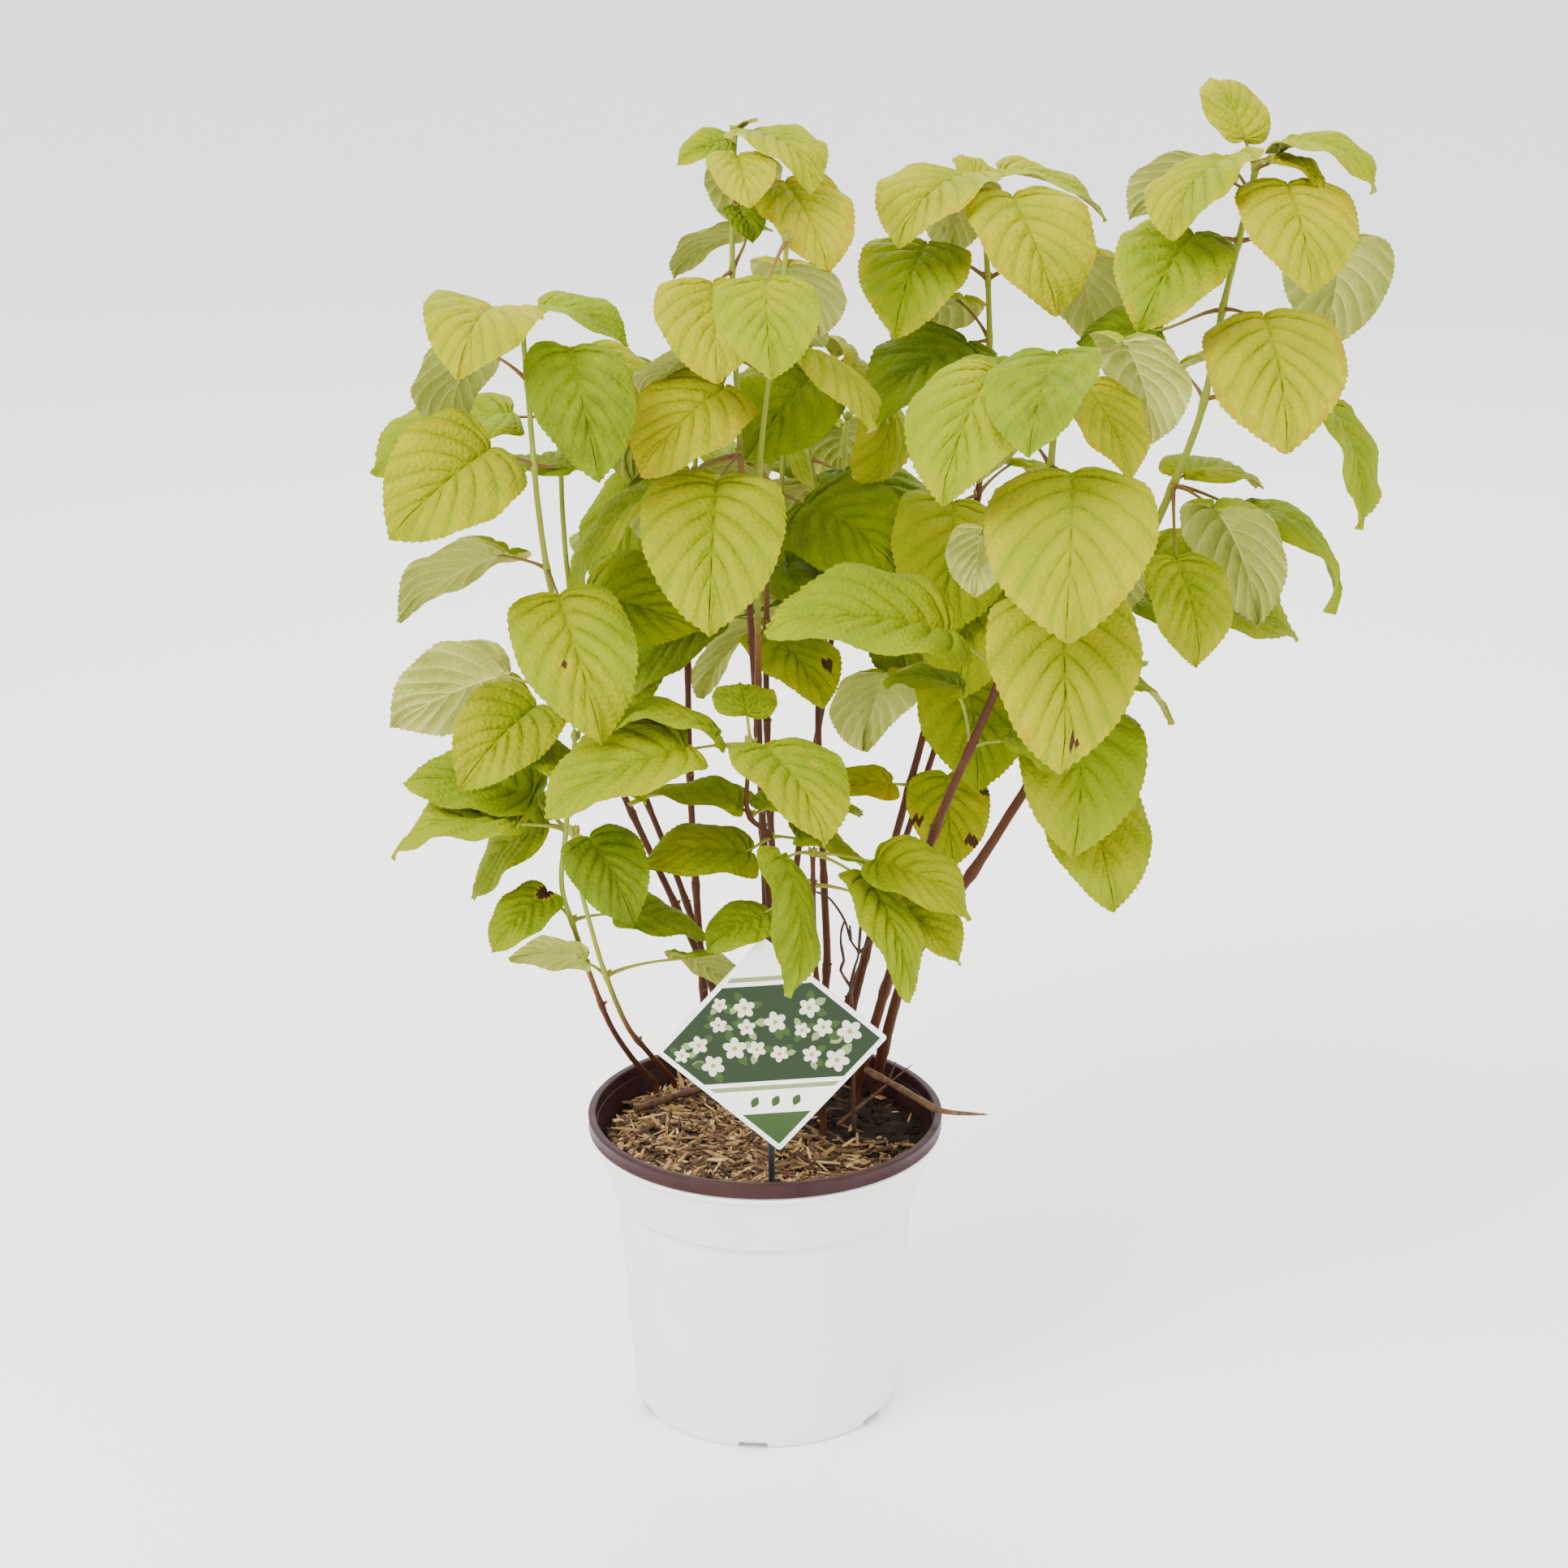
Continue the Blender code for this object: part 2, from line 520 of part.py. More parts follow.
def leaf_solid(node, leaf, sink):
    """Stalk and blade as one closed solid of four-sided sections."""
    sx, sy, sz, length, bearing, droop = leaf[:6]
    roll = leaf[6] if len(leaf) > 6 else 0.0
    arch = leaf[7] if len(leaf) > 7 else BLADE_ARCH
    wide = leaf[8] if len(leaf) > 8 else 1.0
    base = node + Vector((sx, sy, sz))
    frames = blade_frames(base, length, bearing, droop, roll, arch)
    place, up, side, heading = frames[0]
    out = (base - node).normalized()
    across = side - out * side.dot(out)
    if across.length < LEAST_ACROSS:
        across = up - out * up.dot(out)
    across.normalize()
    rise = out.cross(across)
    if rise.dot(up) < 0:
        rise, across = -rise, -across
    ahead = heading + out
    if ahead.length < LEAST_AHEAD:
        ahead = heading.copy()
    ahead.normalize()
    lift = (up - ahead * up.dot(ahead)).normalized()
    still = Vector((0, 0, 0))
    sections = [(node - out * sink, rise * STALK_RADIUS, across * STALK_RADIUS, still),
                (place, lift * STALK_RADIUS * NECK_FLAT, side * STALK_RADIUS * NECK_WIDE, still)]
    cup = math.tan(math.radians(BLADE_CUP))
    for (share, half, edge_share), (place, up, side, heading) in zip(BLADE_SECTIONS, frames[1:]):
        width = half * length * wide
        shift = heading * (edge_share - share) * length + up * width * cup
        sections.append((place, up * BLADE_HALF_THICK, side * width, shift))
    verts = []
    for place, up, across, shift in sections:
        verts += [place + up, place + across + shift, place - up, place - across + shift]
    verts.append(frames[-1][0])
    faces = [(3, 2, 1), (3, 1, 0)]
    for k in range(len(sections) - 1):
        faces += ring_faces(4 * k, 4 * k + 4)
    last = len(verts) - 5
    faces += [(last + i, last + (i + 1) % 4, last + 4) for i in range(4)]
    return verts, faces


def ring_faces(a, b):
    """Triangles between two four-sided sections, split from the earlier edge to the later rib."""
    return [
        (a, a + 1, b), (a + 1, b + 1, b),
        (a + 1, a + 2, b + 2), (a + 1, b + 2, b + 1),
        (a + 2, a + 3, b + 2), (a + 3, b + 3, b + 2),
        (a + 3, a, b), (a + 3, b, b + 3),
    ]


def tree_of(verts, faces):
    return BVHTree.FromPolygons([tuple(v) for v in verts], faces)


def grown(leaf, dx, dy):
    """The leaf's numbers, turned by dx degrees round its stem and drooped by dy more."""
    values = list(leaf)
    turn = math.radians(dx)
    x, y = values[0], values[1]
    values[0] = x * math.cos(turn) - y * math.sin(turn)
    values[1] = x * math.sin(turn) + y * math.cos(turn)
    values[4] += dx
    values[5] += dy
    return values


def in_crown(verts):
    wide = max(abs(v.x) for v in verts) > CROWN_HALF_WIDTH
    deep = max(abs(v.y) for v in verts) > CROWN_HALF_DEPTH
    low, high = min(v.z for v in verts), max(v.z for v in verts)
    return not wide and not deep and low > CROWN_FLOOR and high < CROWN_TOP


def mates(name, rng):
    """Hidden mates across each node whose pair the picture shows only half of, and the rule's own pairs."""
    rows = []
    for height, leaves in LEAVES.get(name, ()):
        fallen = (name, height) in FALLEN_MATES
        if len(leaves) == 1 and not fallen and height > CANES[name][4] + MATE_ROOM:
            length, bearing = leaves[0][3:5]
            reach = rng.uniform(*RULE_STALK)
            out = direction(bearing + 180 + rng.uniform(-MATE_SWING, MATE_SWING), -MATE_RISE)
            across = math.degrees(math.atan2(out.y, out.x))
            size = max(length * MATE_SHARE, MATE_LEAST)
            rows.append((height, ((*(out * reach), size, across, rng.uniform(*MATE_DROOP)),)))
    if name in RULE_CANES:
        height, high, turn = RULE_CANES[name]
        while height <= high:
            pair = []
            for half in (0, 180):
                bearing = turn + half + rng.uniform(-RULE_SWING, RULE_SWING)
                out = direction(bearing, -rng.uniform(*RULE_RISE)) * rng.uniform(*RULE_STALK)
                pair.append((*out, rng.uniform(*RULE_LENGTH), bearing, rng.uniform(*RULE_DROOP),
                             rng.uniform(-RULE_ROLL, RULE_ROLL)))
            rows.append((height, tuple(pair)))
            height += RULE_SPACING
            turn += 90
    return rows


def clash(one, other):
    """Whether two shapes meet, not counting where a stalk starts on its own cane or node."""
    near = one[0] == other[0] and other[1] in (None, one[1])
    part = 3 if near else 2
    return bool(one[part].overlap(other[part]))


def place_leaves():
    """Leaves of every cane, each turned a little until it is free, or left out."""
    rng = random.Random(SEED)
    placed = {name: [] for name in CANES}
    taken = obstacles()
    plans = [(name, LEAVES.get(name, ())) for name in CANES] + [(name, mates(name, rng)) for name in CANES]
    for name, rows in plans:
        path = cane_path(name)
        for height, leaves in rows:
            node, radius = split_at(path, height)
            for leaf in leaves:
                for dx, dy in TRIES:
                    values = grown(leaf, dx, dy)
                    verts, faces = leaf_solid(node, values, 0.0)
                    blade = [face for face in faces if min(face) >= 4]
                    shape = (name, height, tree_of(verts, faces), tree_of(verts, blade))
                    if in_crown(verts) and not any(clash(shape, other) for other in taken):
                        taken.append(shape)
                        placed[name].append((node, values, height))
                        break
    return placed


def join_mass(name, stem, leaves):
    """One solid from the mass's stem and its leaves."""
    group = name + "_leaves"
    for index, (node, values, height) in enumerate(leaves):
        shape = leaf_solid(node, values, STALK_SINK)
        leaf = object_from("%s_leaf_%d" % (name, index), *shape, MATERIALS["foliage"], group)
        face_outwards(leaf)
    combine(stem, "UNION", group, "MANIFOLD")
    face_outwards(stem)
    stem.data.materials.clear()
    stem.data.materials.append(MATERIALS["foliage"])


def make_canes():
    """Bare limb of each cane, and the stem of its leafy mass."""
    stems = {}
    for name in CANES:
        path = cane_path(name)
        leafy = CANES[name][4]
        cut, radius = split_at(path, leafy)
        lower = [(p, r) for p, r in path if p.z < leafy - CANE_RISE] + [(cut, radius)]
        upper = [(p, r) for p, r in path if p.z > leafy + CANE_RISE]
        step = (upper[0][0] - cut).normalized() * GAP
        upper = [(cut + step, radius)] + upper
        tube("cane_" + name, lower, MATERIALS["bark"])
        stems[name] = tube("foliage_" + name, upper, MATERIALS["foliage"])
    return stems


def stub_path(name):
    places, foot_radius, tip_radius = STUBS[name]
    path = smooth_path([(x, y, SOIL_TOP + height) for x, y, height in places], STUB_STEP)
    count = len(path) - 1
    return [(p, foot_radius + (tip_radius - foot_radius) * i / count) for i, p in enumerate(path)]


def limb_tree(path):
    """Coarse shell round a limb, used only to keep leaves off it."""
    verts, faces = [], []
    for place, radius in path:
        base = len(verts)
        for k in range(SHELL_SIDES):
            angle = 2 * math.pi * k / SHELL_SIDES
            verts.append(place + Vector((math.cos(angle), math.sin(angle), 0)) * (radius + GAP))
        if base:
            for k in range(SHELL_SIDES):
                across = (k + 1) % SHELL_SIDES
                below = base - SHELL_SIDES
                faces.append((below + k, below + across, base + across, base + k))
    return tree_of(verts, faces)


def obstacles():
    """What a leaf has to keep clear of before the first leaf is placed."""
    trees = {name: limb_tree(cane_path(name)) for name in CANES}
    trees.update({name: limb_tree(stub_path(name)) for name in STUBS})
    for name, shape in (("tag", tag_box()), ("tag_stick", stick_box())):
        bm = box_bmesh(*shape)
        trees[name] = BVHTree.FromBMesh(bm)
        bm.free()
    return [(name, None, tree, tree) for name, tree in trees.items()]


MATERIALS = {}


def main():
    for obj in list(bpy.data.objects):
        bpy.data.objects.remove(obj)
    MATERIALS["pot"] = material("pot_white", (0.86, 0.86, 0.84), 0.45)
    MATERIALS["lining"] = material("pot_brown", (0.09, 0.055, 0.055), 0.45)
    MATERIALS["soil"] = material("mulch", (0.30, 0.20, 0.10), 0.95)
    MATERIALS["tag"] = material("tag_card", (0.85, 0.86, 0.83), 0.4)
    MATERIALS["stick"] = material("tag_stick", (0.05, 0.06, 0.07), 0.5)
    MATERIALS["bark"] = material("bark", (0.22, 0.11, 0.06), 0.75)
    MATERIALS["foliage"] = material("foliage", (0.42, 0.50, 0.07), 0.6)
    make_pot()
    make_lining()
    make_soil()
    make_tag()
    for name in STUBS:
        tube(name, stub_path(name), MATERIALS["bark"])
    stems = make_canes()
    placed = place_leaves()
    for name, stem in stems.items():
        join_mass(name, stem, placed[name])


main()
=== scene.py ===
"""Looks of a potted shrub with large heart-shaped leaves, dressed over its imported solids.

Frame: metres, Z up, front of the pot towards -Y, origin at the bottom centre of the pot.
Sizes of the plant and the pot are named in millimetres and scaled by MM when a mesh is made.
Canes and leaves grow by the same tables and the same rule as the solids, so they lie on them.
"""
import json
import math
import random

import bmesh
import bpy
import numpy as np
from mathutils import Matrix, Vector
from mathutils.bvhtree import BVHTree

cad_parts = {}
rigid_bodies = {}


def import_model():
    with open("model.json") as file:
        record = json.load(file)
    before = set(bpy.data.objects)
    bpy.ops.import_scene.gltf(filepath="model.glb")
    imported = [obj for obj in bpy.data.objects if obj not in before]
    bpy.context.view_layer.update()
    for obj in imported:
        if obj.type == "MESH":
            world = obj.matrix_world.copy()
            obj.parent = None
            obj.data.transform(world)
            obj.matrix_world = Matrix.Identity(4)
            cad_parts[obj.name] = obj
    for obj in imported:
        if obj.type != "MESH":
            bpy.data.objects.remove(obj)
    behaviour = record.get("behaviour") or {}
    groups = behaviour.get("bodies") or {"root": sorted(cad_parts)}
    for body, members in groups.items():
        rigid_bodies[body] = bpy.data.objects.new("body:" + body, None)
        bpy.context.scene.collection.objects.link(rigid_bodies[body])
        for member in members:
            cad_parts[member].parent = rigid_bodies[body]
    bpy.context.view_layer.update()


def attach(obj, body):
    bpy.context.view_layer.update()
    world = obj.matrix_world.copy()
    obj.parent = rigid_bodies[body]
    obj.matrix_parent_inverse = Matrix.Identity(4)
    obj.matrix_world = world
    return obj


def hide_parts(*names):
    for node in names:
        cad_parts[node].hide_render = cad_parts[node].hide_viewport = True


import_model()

MM = 0.001
SEED = 41
GAP = 0.3
BODY = "root"

# Camera and light
LENS = 80.0
SENSOR = 36.0
CAMERA_PLACE = (0.0123, -2.073, 1.143)
CAMERA_PITCH = 19.1  # degrees below level
SKY_STRENGTH = 2.25
LAMPS = (  # place, size, power, tint
    ((-1.5, -1.5, 2.6), 1.4, 128.0, (255, 253, 250)),
    ((1.9, -1.2, 1.8), 1.8, 24.0, (250, 252, 255)),
    ((0.3, 1.9, 2.4), 2.0, 55.0, (255, 255, 250)),
)
LAMP_TARGET = (0.02, 0, 0.42)
FLOOR_HALF = 20.0

# Pot
POT_HEIGHT = 202.0
RIM_RADIUS = 115.0
RIM_DEPTH = 10.0
COLLAR_TOP_RADIUS = 112.8
COLLAR_FOOT_RADIUS = 98.5
COLLAR_FOOT_Z = 148.5
BODY_TOP_RADIUS = 96.0
NECK_RADIUS = 94.7  # of the groove below the collar
BODY_FOOT_RADIUS = 86.6
FOOT_RADIUS = 84.0
POT_WALL = 2.0
BASE_THICK = 3.0
LINING_WALL = 1.6
LINING_FOOT_Z = 105.0
GROOVE_FOOT = 6.0  # how far below the collar's foot the groove ends
BODY_FOOT_Z = 9.0  # height where the tapering body starts
COLLAR_RISE = 7.4  # depth of the rolled lip
COLLAR_STEPS = 9
LIP_INSET = 2.0  # the collar starts this far inside its corner
COLLAR_END = (0.9, 2.8)  # where it ends, out and up from its foot
GROOVE_HEIGHTS = (0.6, 3.4)  # top and bottom of the groove's floor, below the collar's foot
LIP_PROFILE = ((-1.2, 0.0), (0.3, -0.2), (1.3, -0.9), (1.7, -2.2), (1.3, -3.5), (0.1, -4.3), (-1.9, -4.7),
               (-2.5, -5.6))  # points of the rolled lip, out and up from its corner
STEP_PROFILE = ((1.0, 1.6), (0.5, 0.4), (-1.4, -0.3))  # the same for the foot of the collar
FOOT_CURVE = ((-0.2, 6.0), (-0.7, 3.4))  # out from the body's foot, and height
FOOT_ROUND = ((1.1, 1.5), (0.3, 0.4), (-0.4, 0.0))  # out from the foot's rim, and height
# Rim band of the lining: points out and up from its corners, outside and then inside
BAND_TOP = ((-1.3, 0.0), (-0.5, -0.2), (0.0, -0.8), (0.0, -2.0), (-0.35, -2.5))
BAND_FOOT = ((-0.4, 1.6), (-0.2, 1.1), (-0.4, 0.2), (-1.0, 0.0))
BAND_INSIDE = ((0.2, 2.0), (0.9, 2.6))
BAND_INSIDE_TOP = ((1.0, -1.2), (1.3, -0.4), (1.9, 0.0))
BODY_ROOM = 0.66  # room round the lining below the collar, and in the collar
COLLAR_ROOM = 0.36
TURN_SIDES = 168
POT_CREASE = 34  # faces that meet at more degrees than this keep a sharp edge
SLOT_COUNT = 6
SLOT_WIDTH = 19.0
SLOT_HEIGHT = 5.0
SLOT_DEPTH = 5.0
SLOT_TURN = -95.2

# Soil and mulch
SOIL_TOP = 184.0
SOIL_RADIUS = 105.5
SOIL_FOOT_RADIUS = 80.0
SOIL_ROOM = 0.36  # room between soil and lining
SOIL_RINGS = 46
SOIL_SPOKES = 150
SOIL_RIPPLE = 2.4
SOIL_WAVES = 14
SOIL_PACE = 0.32
SOIL_CRUMB = 0.9
SOIL_SINK = 1.2  # the ripples lie about a level this far below its top
EDGE_FROM = 0.80  # share of the radius where the compost starts to fall
EDGE_FALL = 3.0
STREWN_SIZES = (0.5, 1.25)  # least and most size of a strewn shape
CHIP_STATIONS = 5
CHIP_BEND = 0.08
CHIP_SKEW = 0.12
CHIP_WIDTHS = (0.8, 1.15)
CHIP_THICKS = (0.75, 1.1)
CHIP_KINDS = (  # name, tint, density per square metre, seed, scale
    ("chips_straw", (156, 122, 76), 34000.0, 3, 1.0),
    ("chips_tan", (104, 76, 50), 30000.0, 5, 1.0),
    ("chips_pale", (196, 164, 112), 15000.0, 7, 0.85),
    ("chips_brown", (68, 46, 30), 20000.0, 9, 1.1),
)
CHIP_SIZES = ((15.0, 3.0, 1.0), (10.0, 2.2, 0.8), (20.0, 2.4, 0.9), (7.5, 3.4, 1.1), (13.0, 1.4, 0.8))
LUMP_SIZE = 3.4
LUMP_KINDS = 4
LUMP_SPREAD = (0.72, 1.15)
LUMP_FLAT = 0.75
LUMP_COVER = (1.15, 0.75)  # crumbs where no chips lie, and how many fewer there are under chips
BARE_SIDE = (35.0, 54.0, 42.0)  # bearing of the thin side, its width, and where it starts
BARE_MOST = 1.05
DARK_PATCHES = ((-62.0, -6.0, 420.0), (-30.0, -62.0, 160.0))  # bare compost: place and spread
DARK_MOST = 0.6
BACK_THINNER = 0.2
LEAST_COVER = 0.03
STREWN = {"Tilt": 0.34, "Pile": 0.0042}
CRUMBS = {"Density": 9000.0, "Seed": 21, "Scale": 0.85, "Tilt": 1.5, "Pile": 0.001}

# Tag
TAG_SIDE = 102.0
TAG_THICK = 1.2
TAG_CENTRE = (4.5, -86.0, 284.0)
TAG_TURN = 4.0
CARD_THICK = 0.8
CARD_CORNER = 2.0
INK_THICK = 0.12
INK_STEP = 0.04  # rise of each printed layer over the one below it
CARD_EDGE = 4.6  # white edge of the card round its print
PRINT_BANDS = ((-24.0, 40.0, "deep"), (-30.0, -27.0, "pale"), (43.0, 46.0, "pale"), (None, -46.0, "mid"))
BLOSSOM_COUNT = 17
BLOSSOM_SIZES = (2.8, 5.0)
BLOSSOM_FIELD = ((-56, 56), (-16, 32))
BLOSSOM_ROOM = 1.75  # least spacing of two blossoms, as a share of their sizes
STICK_WIDTH = 4.0
STICK_THICK = 2.4
STICK_REACH = 44.0
STICK_RIB = (1.1, 1.3)  # width of a rib at its edge and at the web
STICK_WEB = 0.45  # half thickness of the web between the ribs
STICK_TIP = 0.86

# Leaf rule of the solids
BLADE_SECTIONS = ((0.10, 0.26, -0.05), (0.32, 0.385, 0.25), (0.60, 0.35, 0.57), (0.83, 0.205, 0.82))
BLADE_HALF_THICK = 0.9
BLADE_CUP = 7.0
BLADE_ARCH = 34.0
STALK_RADIUS = 1.3
NECK_FLAT = 0.9
NECK_WIDE = 1.2
LEAST_ACROSS = 0.35
LEAST_AHEAD = 0.4
CROWN_HALF_WIDTH = 395.0
CROWN_HALF_DEPTH = 330.0
CROWN_FLOOR = 196.0
CROWN_TOP = 874.0
TRIES = ((0, 0), (8, 0), (-8, 0), (0, 8), (0, -8), (14, 6), (-14, 6), (14, -6), (-14, -6),
         (22, 0), (-22, 0), (0, 18), (22, 14), (-22, 14), (32, 0), (-32, 0), (32, 16), (-32, 16),
         (45, 8), (-45, 8), (60, 10), (-60, 10))
CANE_STEP = 44.0
CANE_RISE = 8.0
SHELL_SIDES = 6

# Each cane: foot on the soil (x, y), the places it passes (x, y, z), foot and tip radius,
# height where its leafy mass starts
CANES = {
    "left_low_a": ((-73, 60), ((-100, 15, 253), (-126, -45, 374), (-122, -55, 414), (-115, -60, 475)),
                   2.0, 1.5, 325),
    "left_low_b": ((-61, 64), ((-89, -5, 263), (-101, -35, 312), (-113, -64, 380), (-116, -74, 418)),
                   1.9, 1.4, 286),
    "left_tall": ((-5, 56), ((-49, 30, 311), (-104, -8, 461), (-132, -25, 572), (-143, -30, 722)),
                  2.6, 1.6, 440),
    "left_back": ((-20, 80), ((-51, 60, 320), (-94, 72, 434), (-125, 80, 533), (-130, 80, 676)),
                  2.4, 1.5, 372),
    "centre_tall": ((4, 50), ((-2, 30, 400), (-14, 20, 621), (-19, 20, 747), (-17, 20, 830)),
                    2.8, 1.5, 500),
    "centre_front": ((16, 30), ((-2, 0, 420), (-2, -12, 639), (10, -32, 726), (14, -42, 776)),
                     2.6, 1.5, 560),
    "centre_back": ((14, 74), ((2, 95, 400), (2, 100, 537), (10, 100, 587), (14, 100, 648)),
                    2.8, 1.6, 470),
    "mid_back": ((34, 78), ((41, 88, 270), (39, 93, 320), (35, 100, 448), (44, 135, 530), (32, 140, 587),
                            (23, 140, 638)), 2.8, 1.6, 480),
    "right_mid": ((48, 80), ((83, 60, 360), (110, 70, 465), (134, 80, 579), (141, 80, 693), (134, 80, 788)),
                  3.0, 1.6, 388),
    "right_front": ((60, 52), ((84, 0, 310), (107, -45, 414), (142, -75, 518), (163, -90, 600),
                               (171, -90, 706)), 3.6, 1.9, 430),
    "right_tall": ((74, 62), ((92, 30, 286), (134, 0, 369), (197, 0, 482), (232, 0, 572), (264, 0, 658),
                              (276, 0, 727), (292, 0, 810)), 3.8, 1.8, 412),
    "front_low_a": ((38, 6), ((34, -35, 285), (31, -50, 346), (30, -60, 400)), 2.2, 1.5, 352),
    "front_low_b": ((8, 4), ((6, -30, 330), (4, -40, 404), (-10, -60, 428), (-8, -76, 476)),
                    2.2, 1.4, 366),
    "rear_left": ((-38, 82), ((-50, 146, 350), (-52, 178, 480), (-44, 190, 634)), 2.8, 1.6, 470),
    "rear_mid": ((4, 90), ((24, 150, 340), (44, 186, 460), (54, 200, 614)), 2.6, 1.6, 450),
    "rear_right": ((40, 82), ((98, 140, 350), (138, 166, 480), (154, 176, 566)), 2.8, 1.6, 448),
}

